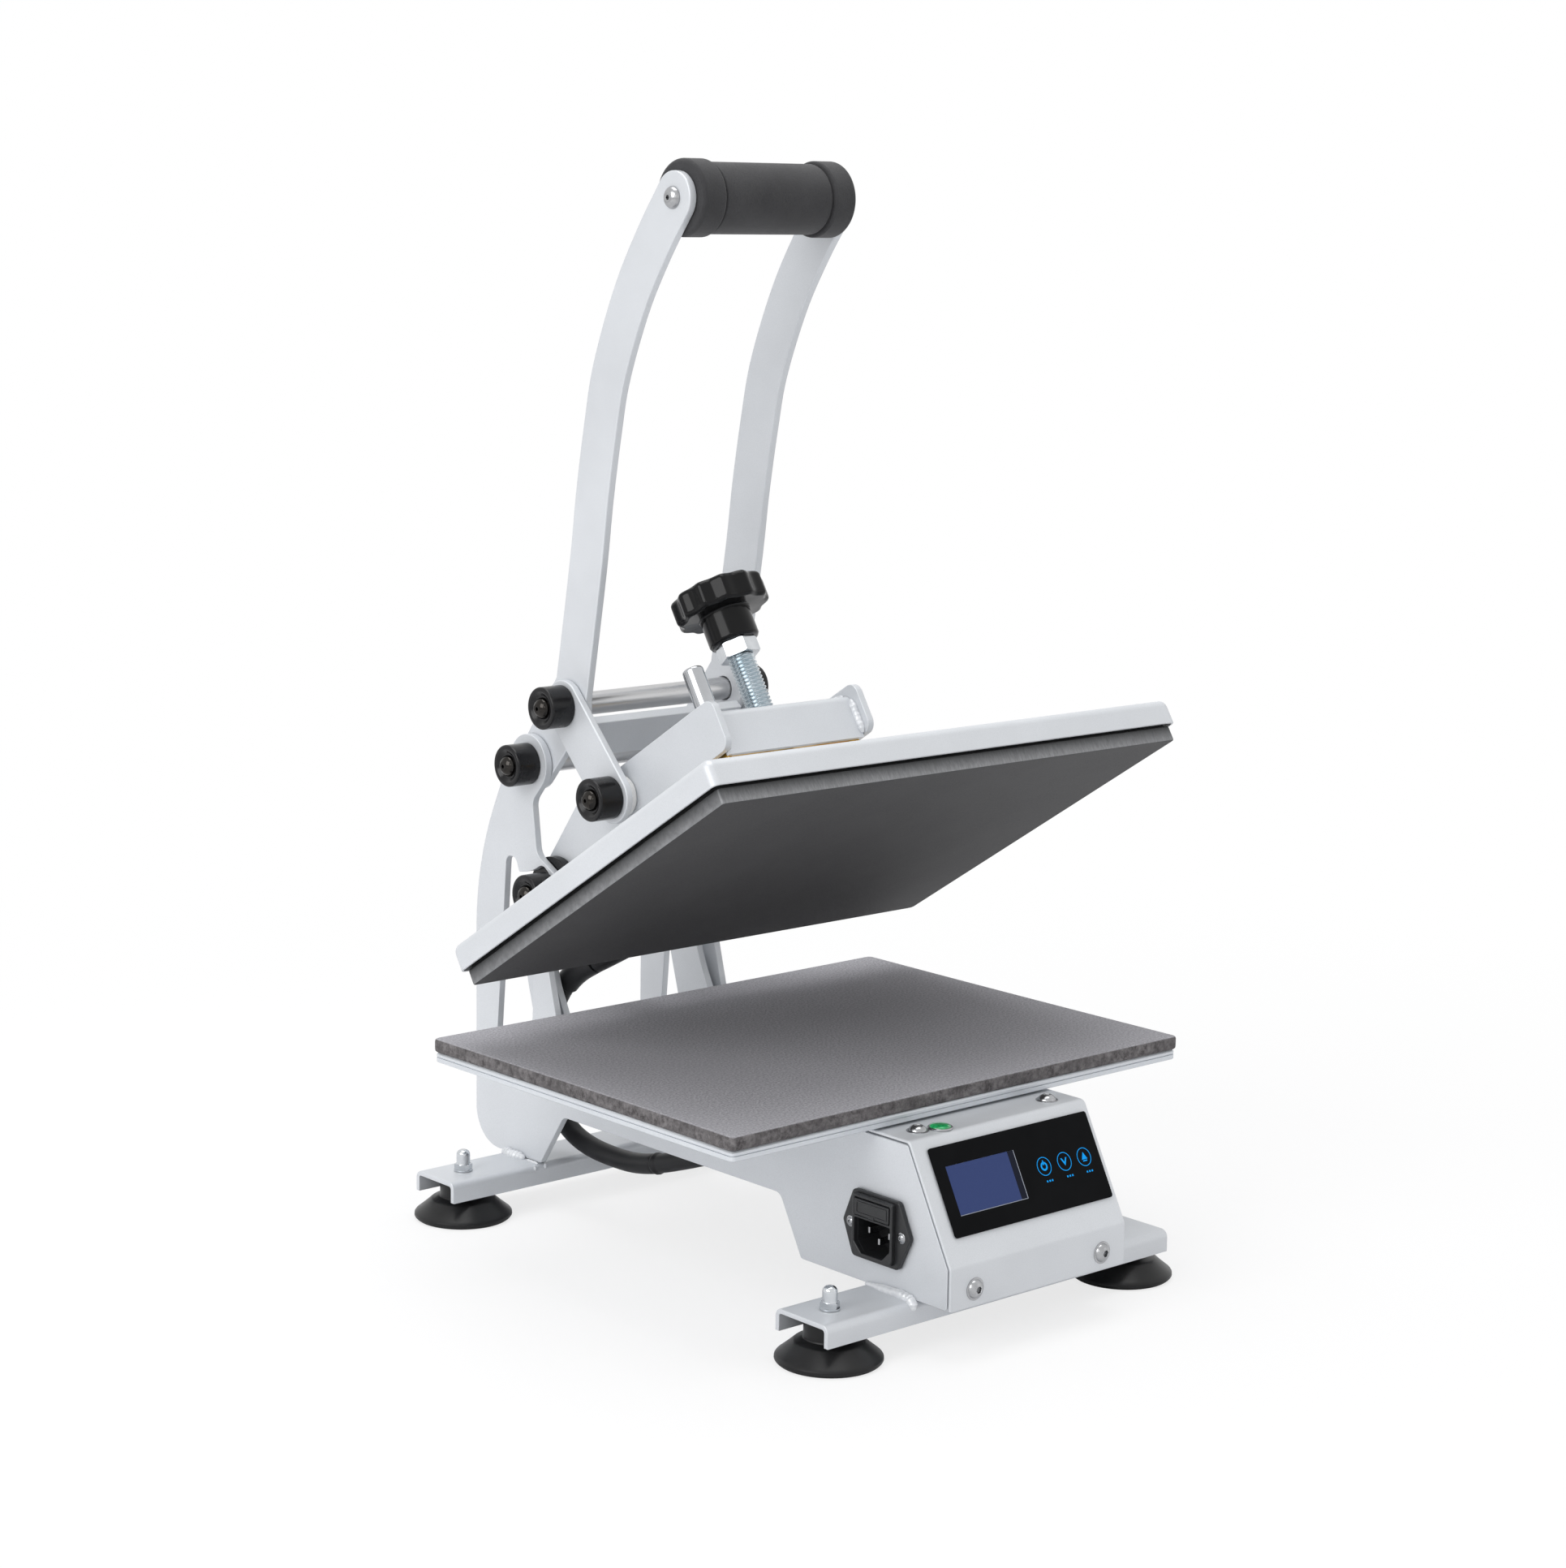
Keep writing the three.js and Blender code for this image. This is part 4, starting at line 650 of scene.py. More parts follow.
leg_sheet = 0.0025
leg_bend = 0.0015
leg_edge = 0.0005
leg_trim = 0.0015
front_leg_ahead = 0.0012
front_leg_behind = 0.0018
thin_bead = 0.0015
bead_radius = 0.0026
bead_rise = 0.0006
bead_inside = 0.0008
bead_outside = 0.0012
bead_proud = 0.002
drip_radius = 0.0009
drip_places = (frame_half + 0.004, frame_half - 0.0028)
for node in ("front_leg", "rear_leg"):
    low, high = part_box(node)
    if node == "front_leg":
        low.y -= front_leg_ahead
        high.y += front_leg_behind
    path = [(high.y, low.z), (high.y, high.z), (low.y, high.z), (low.y, low.z)]
    leg = plate_mesh(bent_sheet(path, leg_sheet, leg_bend), [], low.x + leg_trim, high.x - leg_trim,
                     edge=leg_edge)
    fitted(node + "_channel", leg, coat, "base", node)
    for side, hand in hands:
        inner = side * (frame_inner - bead_inside)
        outer = side * (frame_half + bead_outside)
        proud = side * (frame_half + bead_proud)
        top = high.z + bead_rise
        weld_bead(f"{node}_weld_{hand}_inner", [(inner, low.y + 0.004, top), (inner, high.y - 0.004, top)],
                  thin_bead, "base", seed=side)
        if node == "front_leg":
            run = [(outer, high.y - 0.0015, top), (outer, low.y + 0.009, top + 0.0004),
                   (outer, low.y + 0.004, top), (proud, low.y + 0.0008, top - 0.0012),
                   (proud, low.y - 0.0001, high.z - 0.0045)]
            weld_bead(f"{node}_weld_{hand}_outer", run, bead_radius, "base", seed=3 + side, lump=0.3)
            continue
        run = [(outer, high.y - 0.0008, top), (proud, high.y - 0.0105, top), (proud, high.y - 0.0205, top)]
        weld_bead(f"{node}_weld_{hand}_outer", run, bead_radius, "base", seed=6 + side, lump=0.45)
        run = [(outer, high.y - 0.0215, high.z), (outer, low.y + 0.0015, high.z)]
        weld_bead(f"{node}_weld_{hand}_thin", run, drip_radius, "base", seed=8 + side)
        for x in drip_places:
            run = [(side * x, low.y + 0.0006, high.z - 0.0002), (side * x, low.y - 0.0002, high.z - 0.0028)]
            weld_bead(f"{node}_drip_{hand}_{round(x * 1e4)}", run, drip_radius, "base", seed=x)


# Feet
# Moulded rubber suction cups, each on a zinc plated stud that comes up through the leg. Three have
# an acorn nut with its flange on top; the front right one has none and stands a little farther out.
def rubber(name, shade, rough, grain, bump):
    surface = Surface(name)
    fine = surface.noise(grain, 3.0, 0.6)
    dust = surface.noise(40, 4.0, 0.65)
    colour = surface.fleck(dust, 0.42, 0.75, 0.6, shade, scaled(shade, 2.1))
    return surface.finish(
        colour, Roughness=surface.spread(dust, 0.3, 0.7, rough - 0.06, rough + 0.08),
        Specular_IOR_Level=0.3, Normal=surface.bump(fine, bump, 0.6))


def bright_metal(name, colour, tint, rough, scale, streak=(1, 1, 1)):
    surface = Surface(name)
    wear = surface.noise(scale, 3.0, 0.6, streak)
    shade = surface.fleck(wear, 0.3, 0.7, 1, colour, tint)
    worn = surface.spread(wear, 0.25, 0.75, rough * 0.85, rough * 1.15)
    return surface.finish(shade, Metallic=1.0, Roughness=worn)


foot_black = rubber("foot_rubber", linear(19, 19, 20), 0.34, 500, 0.00005), "foot_rubber"
zinc = bright_metal("zinc_plate", linear(186, 197, 203), linear(204, 211, 215), 0.2, 120), "zinc_plate"
plated = bright_metal("plated_nut", linear(192, 196, 200), linear(210, 213, 216), 0.16, 120), "zinc_plate"
foot_profile = [
    (0, 0.0105), (0.0043, 0.0105), (0.0043, 0.0222), (0.0116, 0.0222), (0.0122, 0.0216), (0.0122, 0.0125),
    (0.0126, 0.0119), (0.0164, 0.0108), (0.0172, 0.0102), (0.0206, 0.0072), (0.0242, 0.0043),
    (0.0251, 0.0036), (0.0256, 0.0029), (0.0257, 0.0018), (0.0255, 0.0014), (0.025, 0.0012),
    (0.025, 0.0008), (0.0242, 0.0002), (0.0232, 0), (0.022, 0.0004), (0.018, 0.002), (0.012, 0.0034),
    (0.006, 0.004), (0, 0.0041),
]
nut_chamfer = 0.96
nut_slope = math.tan(math.radians(30))


def hexagon_at(turn, across):
    folded = (turn + math.pi / 6) % (math.pi / 3) - math.pi / 6
    return across / 2 / math.cos(folded)


def nut_rings(across, low, high):
    """The outside of a hexagon nut with its corners chamfered."""
    limit = across / 2 / nut_chamfer / math.cos(math.pi / 12)

    def full(height, way):
        def place(turn):
            reach = hexagon_at(turn, across)
            return reach, height + way * max(0, reach - limit) * nut_slope
        return place

    def trimmed(height):
        return lambda turn: (min(hexagon_at(turn, across), limit), height)

    return [trimmed(low), full(low, 1), full(high, -1), trimmed(high)]


flange_radius = 0.0049
flange_height = 0.0008
acorn_across = 0.0082
acorn_hexagon = 0.0036
acorn_radius = 0.0036
acorn_height = 0.0112
acorn_crown = 0.0027
acorn_profile = [
    (0, 0), (flange_radius, 0), (flange_radius, flange_height),
    *nut_rings(acorn_across, flange_height, acorn_hexagon),
    (acorn_radius + 0.0002, acorn_hexagon), (acorn_radius, acorn_hexagon + 0.0004),
    *arc((acorn_radius - acorn_crown, acorn_height - acorn_crown), acorn_crown, 0, math.radians(75),
         math.radians(15)),
    (0.0007, acorn_height), (0, acorn_height - 0.0002)]
stud_radius = 0.004
bare_foot = "front_right"
bare_foot_out = 0.003
bare_stud_sunk = 0.0015
nut_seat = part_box("front_leg")[1].z + touch_gap
for corner in ("front_left", "front_right", "rear_left", "rear_right"):
    low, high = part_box("suction_foot_" + corner)
    middle = Vector(((low.x + high.x) / 2, (low.y + high.y) / 2, 0))
    stud_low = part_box("foot_stud_" + corner)[0].z
    stud_length = nut_seat - stud_low
    if corner == bare_foot:
        middle.x += bare_foot_out
        stud_length -= bare_stud_sunk
    fitted(f"foot_{corner}", turned_mesh(foot_profile, 64), foot_black, "base", "suction_foot_" + corner,
           crease=24, at=Matrix.Translation(middle))
    stud = turned_mesh(rod(stud_radius, stud_length))
    parts = [moved(stud, Matrix.Translation((0, 0, stud_low - nut_seat)))]
    if corner != bare_foot:
        parts.append(turned_mesh(acorn_profile))
    fitted(f"acorn_nut_{corner}", merged(parts), plated, "base", "foot_stud_" + corner,
           crease=30, at=Matrix.Translation((middle.x, middle.y, nut_seat)))


# Cross rails
# Two short channels of bent sheet between the side sheets, which the table is screwed to. They, the
# box's tray and the arm's rear tie are hardly seen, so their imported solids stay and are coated.
def carry(node, finish):
    """Keeps a node's own solid and gives it a better finish."""
    frame["nodes"][node].material_slots[0].material = finish[0]


for node in ("front_cross_rail", "rear_cross_rail", "control_box_tray", "arm_rear_tie"):
    carry(node, coat)


# Table
# A 5 mm aluminium plate, sawn and brushed, with a fine line milled along its edge. It is screwed to
# the cross rails from above, and the pad hides the screws.
def stacked_mesh(loops):
    """A closed body from outlines of the same number of points, one above the other."""
    return ringed_mesh([[(a, b, height) for a, b in outline] for outline, height in loops], capped=True)


def inset_rectangle(low, high, inset, radius, step=math.radians(9)):
    return rectangle(low[0] + inset, high[0] - inset, low[1] + inset, high[1] - inset, radius, step)


def brushed_aluminium(name):
    surface = Surface(name)
    streak = surface.noise(420, 3.0, 0.65, (0.05, 1, 1))
    cross = surface.noise(420, 3.0, 0.65, (1, 0.05, 1))
    both = streak * 0.5 + cross * 0.5
    cloud = surface.noise(9, 3.0, 0.6)
    shade = surface.fleck(both, 0.35, 0.65, 1, linear(208, 212, 217), linear(216, 220, 224))
    tone = surface.fleck(cloud, 0.35, 0.7, 0.5, shade, linear(198, 202, 208))
    return surface.finish(
        tone, Metallic=0.5, Roughness=surface.spread(both, 0.3, 0.7, 0.34, 0.42),
        Normal=surface.bump(both, 0.00002, 0.3))


aluminium = brushed_aluminium("brushed_aluminium"), "table_aluminium"
table_corner = 0.0025
table_rings = [(0.0004, 0), (0, 0.0004), (0, 0.0024), (0.0006, 0.0025), (0.0006, 0.0029), (0, 0.003),
               (0, 0.0041), (0.0009, 0.005)]
table_mesh = stacked_mesh([
    (inset_rectangle(table_low, table_high, inset, table_corner - inset), table_low.z + height)
    for inset, height in table_rings])
fitted("table_top", table_mesh, aluminium, "base", "table_plate")


# Pad
# A slab of grey silicone foam, cut to size, so its sides show the open cells and its edges are
# drawn in a little. The top is a closed skin with a fine mottling. It lies loose on the table.
def foam_skin(name):
    surface = Surface(name)
    normal = surface.node("ShaderNodeNewGeometry", output="Normal")
    up = surface.node("ShaderNodeSeparateXYZ", None, {"Vector": normal}, "Z")
    flat = surface.spread(up, 0.45, 0.9, 0, 1)
    mottle = surface.noise(850, 4.0, 0.7)
    cloud = surface.noise(11, 3.0, 0.55)
    cells = surface.noise(260, 5.0, 0.75)
    blot = surface.noise(70, 3.0, 0.6)
    top = surface.fleck(mottle, 0.4, 0.6, 1, linear(150, 149, 154), linear(190, 189, 194))
    top = surface.fleck(cloud, 0.35, 0.7, 0.35, top, linear(160, 159, 164))
    side = surface.fleck(cells, 0.35, 0.65, 1, linear(76, 73, 74), linear(130, 127, 128))
    side = surface.fleck(blot, 0.42, 0.62, 0.45, side, linear(84, 82, 83))
    height = cells * surface.spread(flat, 0, 1, 1, 0) + mottle * 0.25
    return surface.finish(
        surface.mix(flat, side, top), Roughness=surface.spread(mottle, 0.3, 0.7, 0.8, 0.92),
        Specular_IOR_Level=0.1, Normal=surface.bump(height, 0.0006, 0.7))


silicone = foam_skin("silicone_foam"), "silicone_pad"
pad_corner = 0.0025
pad_draw_in = 0.0008
pad_sweep = 12
pad_rings = [(0.0006, 0), (0.0001, 0.0006), (0, 0.0014), (0, 0.0054), (0.0002, 0.0062), (0.0006, 0.0066),
             (0.0012, 0.0068)]


def drawn_in_outline(inset):
    places = [(pad_low.x + inset, pad_low.y + inset), (pad_high.x - inset, pad_low.y + inset),
              (pad_high.x - inset, pad_high.y - inset), (pad_low.x + inset, pad_high.y - inset)]
    corners = []
    for i, start in enumerate(places):
        run = Vector(places[(i + 1) % 4]) - Vector(start)
        inward = Vector((-run.y, run.x)).normalized()
        corners.append((*start, pad_corner))
        for k in range(1, pad_sweep):
            draw = inward * pad_draw_in * math.sin(math.pi * k / pad_sweep)
            corners.append(tuple(Vector(start) + run * k / pad_sweep + draw))
    return rounded(corners, math.radians(15))


pad_mesh = stacked_mesh([(drawn_in_outline(inset), pad_low.z + height) for inset, height in pad_rings])
pad = shaped("press_pad", pad_mesh, silicone, crease=50)
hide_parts("rubber_pad")
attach(pad, "base")


# Control box cover
# One bent sheet of 1.5 mm steel, coated with the frame, that laps the edges of the side sheets.
# Four button head screws hold it, two in its top and two in its front.
cover_bend = 0.0024
cover_left, cover_right = (spot.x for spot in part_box("control_box_cover"))
cover_mesh = plate_mesh(bent_sheet(cover_path, cover_sheet, cover_bend), [], cover_left, cover_right,
                        edge=leg_edge)
fitted("box_cover", cover_mesh, coat, "base", "control_box_cover")

stainless = (bright_metal("stainless_steel", linear(158, 159, 161), linear(178, 179, 181), 0.24, 200),
             "zinc_plate")


def button_screw(name, spot, direction, radius, height, socket, body, washer=0.0, finish=stainless):
    """A button head screw with a hexagon socket, standing on a face."""
    foot_lean, rim_lean, dome_steps, socket_turn = math.radians(8), math.radians(64), 9, 0.4
    dome = [(radius * 0.98, 0)]
    for i in range(dome_steps + 1):
        lean = foot_lean + (rim_lean - foot_lean) * i / dome_steps
        share = (math.sin(lean) - math.sin(foot_lean)) / (math.sin(rim_lean) - math.sin(foot_lean))
        dome.append((radius * math.cos(lean) / math.cos(foot_lean), height * share))

    def socket_ring(share, level):
        return lambda turn: (hexagon_at(turn + socket_turn, socket) * share, level)

    rim_radius = max(dome[-1][0] - 0.0003, socket * 0.62)
    parts = [turned_mesh([
        (0, 0), *dome, (rim_radius, height + 0.00002), socket_ring(1.04, height),
        socket_ring(1, height - 0.0001), socket_ring(1, height * 0.35), (0, height * 0.28)])]
    if washer:
        parts.append(turned_mesh([(0, -0.0001), (washer, -0.0001), (washer, 0.0003),
                                  (washer - 0.0003, 0.0005), (0, 0.0005)]))
    fitted(name, merged(parts), finish, body, crease=40, at=pointing(direction, spot))


box_screw = {"radius": 0.0047, "height": 0.0028, "socket": 0.003, "washer": 0.0055}
front_screw_x = 0.043
front_screw_z = 0.0336
top_screw_x = 0.0436
top_screw_y = panel_top + 0.0106
for side, hand in hands:
    button_screw(f"box_screw_front_{hand}", (side * front_screw_x, box_front, front_screw_z), (0, -1, 0),
                 body="base", **box_screw)
    button_screw(f"box_screw_top_{hand}", (side * top_screw_x, top_screw_y, box_top), (0, 0, 1),
                 body="base", **box_screw)


# Display panel
# A glossy black film on the slope, with a blue liquid crystal window let into it. A strip of painted
# shadow darkens the window's right side, a glowing painted highlight runs along its edge, and three
# touch marks are printed in light blue.
def glossy(name, colour, rough, mottle, shine):
    surface = Surface(name)
    haze = surface.noise(55, 3.0)
    shade = surface.fleck(haze, 0.35, 0.65, mottle, colour, scaled(colour, 1.5, 0.004))
    return surface.finish(shade, Roughness=surface.spread(haze, 0.3, 0.7, rough, rough + 0.06),
                          Specular_IOR_Level=shine)


def lit(name, colour, strength):
    surface = Surface(name)
    grain = surface.noise(1800, 1.0)
    shade = surface.fleck(grain, 0.3, 0.7, 0.25, colour, scaled(colour, 0.8))
    return surface.finish(shade, Roughness=0.35, Emission_Color=shade, Emission_Strength=strength,
                          Specular_IOR_Level=0.08)


panel_film = glossy("panel_film", linear(8, 9, 11), 0.14, 0.3, 0.04), "panel_black"
crystal = lit("crystal_window", linear(52, 65, 108), 0.17), "screen_glass"
# Painted shadow: a darker strip down the right side of the window.
painted_shadow_strip = glossy("window_painted_shadow", linear(24, 27, 40), 0.2, 0.3, 0.06), "panel_black"
# Painted highlight: a pale line made to glow, for the light caught at the window's edge.
painted_highlight_line = lit("window_painted_highlight", linear(150, 155, 165), 0.1), "screen_glass"
light_blue = lit("light_blue_print", linear(10, 140, 215), 0.4), "screen_glass"

slope = math.atan2(box_top - panel_foot, panel_top - box_front)
on_slope = Matrix.Translation((0, box_front, panel_foot)) @ Matrix.Rotation(slope, 4, "X")
panel_left = -frame_half + 0.0084
panel_right = frame_half - 0.0032
panel_low_edge = 0.0135
panel_high_edge = 0.057
panel_corner = 0.0015
panel_face = touch_gap + 0.0008
screen_left = panel_left + 0.0072
screen_right = screen_left + 0.0449
screen_low = 0.023
screen_high = 0.047
screen_gap = 0.0001
screen_back = -0.0014
screen_face = panel_face - 0.0001
strip_left = screen_right - 0.0042
line_width = 0.00035
foot_line_top = screen_low + line_width * 0.8
line_low = screen_face - 0.0002
line_high = panel_face + 0.00004
print_low = panel_face - 0.0002
print_high = panel_face + 0.00006


def panel_layer(name, outlines, low, high, edge, finish, *nodes, steps=2):
    """A flat layer on the slope, between two heights above it. Each outline has its holes with it."""
    meshes = [plate_mesh(outline, holes, low, high, "z", edge, steps) for outline, holes in outlines]
    fitted(name, merged(meshes), finish, "base", *nodes, at=on_slope)


def printed(name, outlines):
    panel_layer(name, outlines, print_low, print_high, 0.00002, light_blue, steps=0)


screen_hole = rectangle(screen_left - screen_gap, screen_right + screen_gap,
                        screen_low - screen_gap, screen_high + screen_gap)
panel_outline = rectangle(panel_left, panel_right, panel_low_edge, panel_high_edge, panel_corner)
panel_layer("panel_film", [(panel_outline, [screen_hole])], touch_gap, panel_face, 0.0001,
            panel_film, "display_panel")
panel_layer("crystal_window", [(rectangle(screen_left, strip_left, screen_low, screen_high), [])],
            screen_back, screen_face, 0.00005, crystal, "display_screen")
# The strip of painted shadow at the window's right side.
panel_layer("window_painted_shadow", [(rectangle(strip_left, screen_right, screen_low, screen_high), [])],
            screen_back, screen_face, 0.00005, painted_shadow_strip)
# Lines of painted highlight along the window's right and lower edges.
for name, outline in (
        ("window_line_right", rectangle(screen_right - line_width, screen_right, screen_low, screen_high)),
        ("window_line_foot", rectangle(screen_left, screen_right, screen_low, foot_line_top))):
    panel_layer(name, [(outline, [])], line_low, line_high, 0.00003, painted_highlight_line, steps=0)

ring_outer = 0.0046
ring_line = 0.00036
dial_outer = 0.0022
dial_inner = 0.0013
dial_hand = [(-0.0003, 0.0006), (0.0003, 0.0006), (0.0003, 0.003), (-0.0003, 0.003)]
chevron = [(-0.0021, 0.0018), (-0.0012, 0.0018), (0, -0.0003), (0.0012, 0.0018), (0.0021, 0.0018),
           (0, -0.0021)]
arrow = [(-0.0019, -0.0012), (0.0019, -0.0012), (0, 0.0024)]
foot_bar = [(-0.0014, -0.0022), (0.0014, -0.0022), (0.0014, -0.0016), (-0.0014, -0.0016)]
dot_size = 0.0009
dot_drop = 0.0078
dot_places = (-0.0013, 0.0004, 0.0021)
touch_spots = {"set": (0.0177, 0.0358), "down": (0.0316, 0.0357), "up": (0.0452, 0.0355)}
touch_signs = {"set": [dial_hand], "down": [chevron], "up": [arrow, foot_bar]}
for word, spot in touch_spots.items():
    mark = [(circle(spot, ring_outer), [circle(spot, ring_outer - ring_line)])]
    if word == "set":
        mark.append((circle(spot, dial_outer), [circle(spot, dial_inner)]))
    mark += [([(spot[0] + a, spot[1] + b) for a, b in sign], []) for sign in touch_signs[word]]
    printed(f"touch_mark_{word}", mark)
for word, spot in touch_spots.items():
    low = spot[1] - dot_drop
    printed(f"touch_dots_{word}", [
        (rectangle(spot[0] + a, spot[0] + a + dot_size, low, low + dot_size), []) for a in dot_places])


# Board and relay
# The circuit board stands on four posts behind the panel, beside the relay that switches the
# heater. They and the cable gland, a black plastic moulding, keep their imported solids.
def speckled(name, first, second, scale, rough):
    surface = Surface(name)
    fleck = surface.noise(scale, 4.0, 0.7)
    colour = surface.fleck(fleck, 0.4, 0.6, 1, first, second)
    return surface.finish(colour, Roughness=surface.spread(fleck, 0.3, 0.7, rough - 0.05, rough + 0.05),
                          Normal=surface.bump(fleck, 0.0001, 0.4))


board_green = speckled("circuit_board", linear(28, 96, 54), linear(44, 122, 70), 320, 0.5), "circuit_board"
black_plastic = speckled("black_plastic", linear(27, 28, 30), linear(35, 36, 38), 1500, 0.4), "black_plastic"
carry("control_board", board_green)
carry("heater_relay", black_plastic)
carry("box_cable_gland", black_plastic)


# Pilot lens
# A domed lens of clear green plastic in a thin bright rim, pressed into the cover's top beside the
# left screw.
def green_glass(name):
    surface = Surface(name)
    glow = surface.noise(500)
    colour = surface.fleck(glow, 0.35, 0.65, 1, linear(8, 128, 66), linear(34, 170, 98))
    return surface.finish(colour, Roughness=0.12, Coat_Weight=0.6, Coat_Roughness=0.05,
                          Emission_Color=colour, Emission_Strength=0.06)


lens_low, lens_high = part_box("pilot_lens")
lens_left_by = 0.0035
lens_ahead_by = 0.0045
lens_place = Matrix.Translation(((lens_low.x + lens_high.x) / 2 - lens_left_by,
                                 (lens_low.y + lens_high.y) / 2 - lens_ahead_by, box_top))
lens_profile = [(0, -0.0005), (0.0045, -0.0005), (0.0045, 0.0004), (0.0053, 0.0004), (0.0052, 0.0012),
                (0.0047, 0.0017), (0.0036, 0.002), (0.0018, 0.0022), (0, 0.00225)]
rim_profile = [(0.0049, 0.0002), (0.0061, 0.0002), (0.0061, 0.0007), (0.0058, 0.001), (0.0054, 0.001),
               (0.0049, 0.0004)]
green_lens = green_glass("green_lens"), "green_lens"
fitted("pilot_lens_dome", turned_mesh(lens_profile, 40), green_lens, "base", "pilot_lens",
       crease=60, at=lens_place)
fitted("pilot_rim", turned_mesh(rim_profile, 40, closed=True), stainless, "base", at=lens_place)


# Mains inlet
# An inlet moulded in black plastic, with a fuse drawer above its socket and three plated pins. It
# sits in the left side sheet, held by two screws through its flange.
inlet_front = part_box("mains_inlet")[0].x
flange_back = 0.0225
flange_front = 0.0236
flange_top_half = 0.0156
flange_half_height = 0.0165
flange_corner = 0.0025
flange_face = inlet_front + 0.0025
socket_half = 0.0122
socket_low = 0.013
socket_high = 0.0037
socket_chamfer = 0.005
socket_corner = 0.0008
socket_floor = inlet_front + 0.017
body_back = -frame_half + 0.021
body_inset = 0.0004
floor_inset = 0.0012
drawer_half = 0.012
drawer_low = 0.005
drawer_high = 0.0136
soft_step = math.radians(30)
fine_step = math.radians(6)


def inlet_outline(corners, step):
    return rounded([(inlet_y + a, inlet_z + b, radius) for a, b, radius in corners], step)


flange_outline = inlet_outline([
    (flange_back, 0, flange_corner), (flange_top_half, flange_half_height, flange_corner),
    (-flange_top_half, flange_half_height, flange_corner), (-flange_front, 0, flange_corner),
    (-flange_top_half, -flange_half_height, flange_corner),
    (flange_top_half, -flange_half_height, flange_corner)], math.radians(12))
block_outline = inlet_outline([
    (-inlet_half, -inlet_half_height, 0.0035), (inlet_half, -inlet_half_height, 0.0035),
    (inlet_half, inlet_half_height, 0.0012), (-inlet_half, inlet_half_height, 0.0012)], math.radians(15))
socket_outline = inlet_outline([
    (-socket_half, socket_high, socket_corner), (socket_half, socket_high, socket_corner),
    (socket_half, socket_chamfer - socket_low, socket_corner),
    (socket_half - socket_chamfer, -socket_low, socket_corner),
    (socket_chamfer - socket_half, -socket_low, socket_corner),
    (-socket_half, socket_chamfer - socket_low, socket_corner)], soft_step)
body_rise = inlet_half_height - body_inset
floor_rise = inlet_half_height - floor_inset
body_outline = at_inlet(inlet_half - body_inset, -body_rise, body_rise, 0.001, fine_step)
floor_outline = at_inlet(inlet_half - floor_inset, -floor_rise, floor_rise, 0.001, fine_step)
openings = [socket_outline, at_inlet(drawer_half, drawer_low, drawer_high, 0.0005, soft_step)]
inlet_mesh = merged([
    plate_mesh(flange_outline, openings, flange_face, -frame_half - touch_gap, edge=0.0005, steps=3),
    plate_mesh(block_outline, openings, inlet_front, flange_face + 0.0005, edge=0.0006, steps=3),
    plate_mesh(body_outline, openings, -frame_half - touch_gap - 0.0005, socket_floor, edge=0.0002),
    plate_mesh(floor_outline, [], socket_floor - 0.0002, body_back, edge=0.0003)])
fitted("mains_inlet_body", inlet_mesh, black_plastic, "base", "mains_inlet")

pin_length = 0.012
pin_half_width = 0.00075
pin_half_height = 0.0016
pin_spread = 0.007
line_drop = -0.0026
earth_drop = -0.0068
for word, a, b in (("left", -pin_spread, line_drop), ("earth", 0, earth_drop),
                   ("right", pin_spread, line_drop)):
    outline = rectangle(inlet_y + a - pin_half_width, inlet_y + a + pin_half_width,
                        inlet_z + b - pin_half_height, inlet_z + b + pin_half_height, 0.0004)
    pin = plate_mesh(outline, [], socket_floor - pin_length, socket_floor + 0.0005, edge=0.0003)
    fitted(f"inlet_pin_{word}", pin, stainless, "base")
for word, a in (("front", -0.018), ("back", 0.0168)):
    button_screw(f"inlet_screw_{word}", (flange_face, inlet_y + a, inlet_z), (-1, 0, 0),
                 radius=0.0022, height=0.0012, socket=0.0014, body="base", washer=0.0027)


# Fuse drawer
# A small drawer of the same black plastic that pulls out of the inlet with its fuse. It has a
# raised frame on its front and a finger edge below that.
drawer_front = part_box("fuse_drawer")[0].x
drawer_gap = 0.0003
drawer_face = drawer_front + 0.0003
drawer_back = drawer_front + 0.0186
raised_back = drawer_front + 0.0006
raised_half = 0.0104
raised_low = 0.0063
raised_high = 0.0122
raised_width = 0.0006
finger_half = 0.002
finger_low = 0.0052
drawer_outline = at_inlet(drawer_half - drawer_gap, drawer_low + drawer_gap, drawer_high - drawer_gap,
                          0.0006, soft_step)
raised_outline = at_inlet(raised_half, raised_low, raised_high, 0.0006)
raised_hole = at_inlet(raised_half - raised_width, raised_low + raised_width, raised_high - raised_width,
                       0.0004)
finger_outline = at_inlet(finger_half, finger_low, raised_low, 0.0003)
drawer_mesh = merged([
    plate_mesh(drawer_outline, [], drawer_face, drawer_back, edge=0.0003),
    plate_mesh(raised_outline, [raised_hole], drawer_front, raised_back, edge=0.0001),
    plate_mesh(finger_outline, [], drawer_front, raised_back, edge=0.0001)])
fitted("fuse_drawer_front", drawer_mesh, black_plastic, "fuse_drawer", "fuse_drawer")


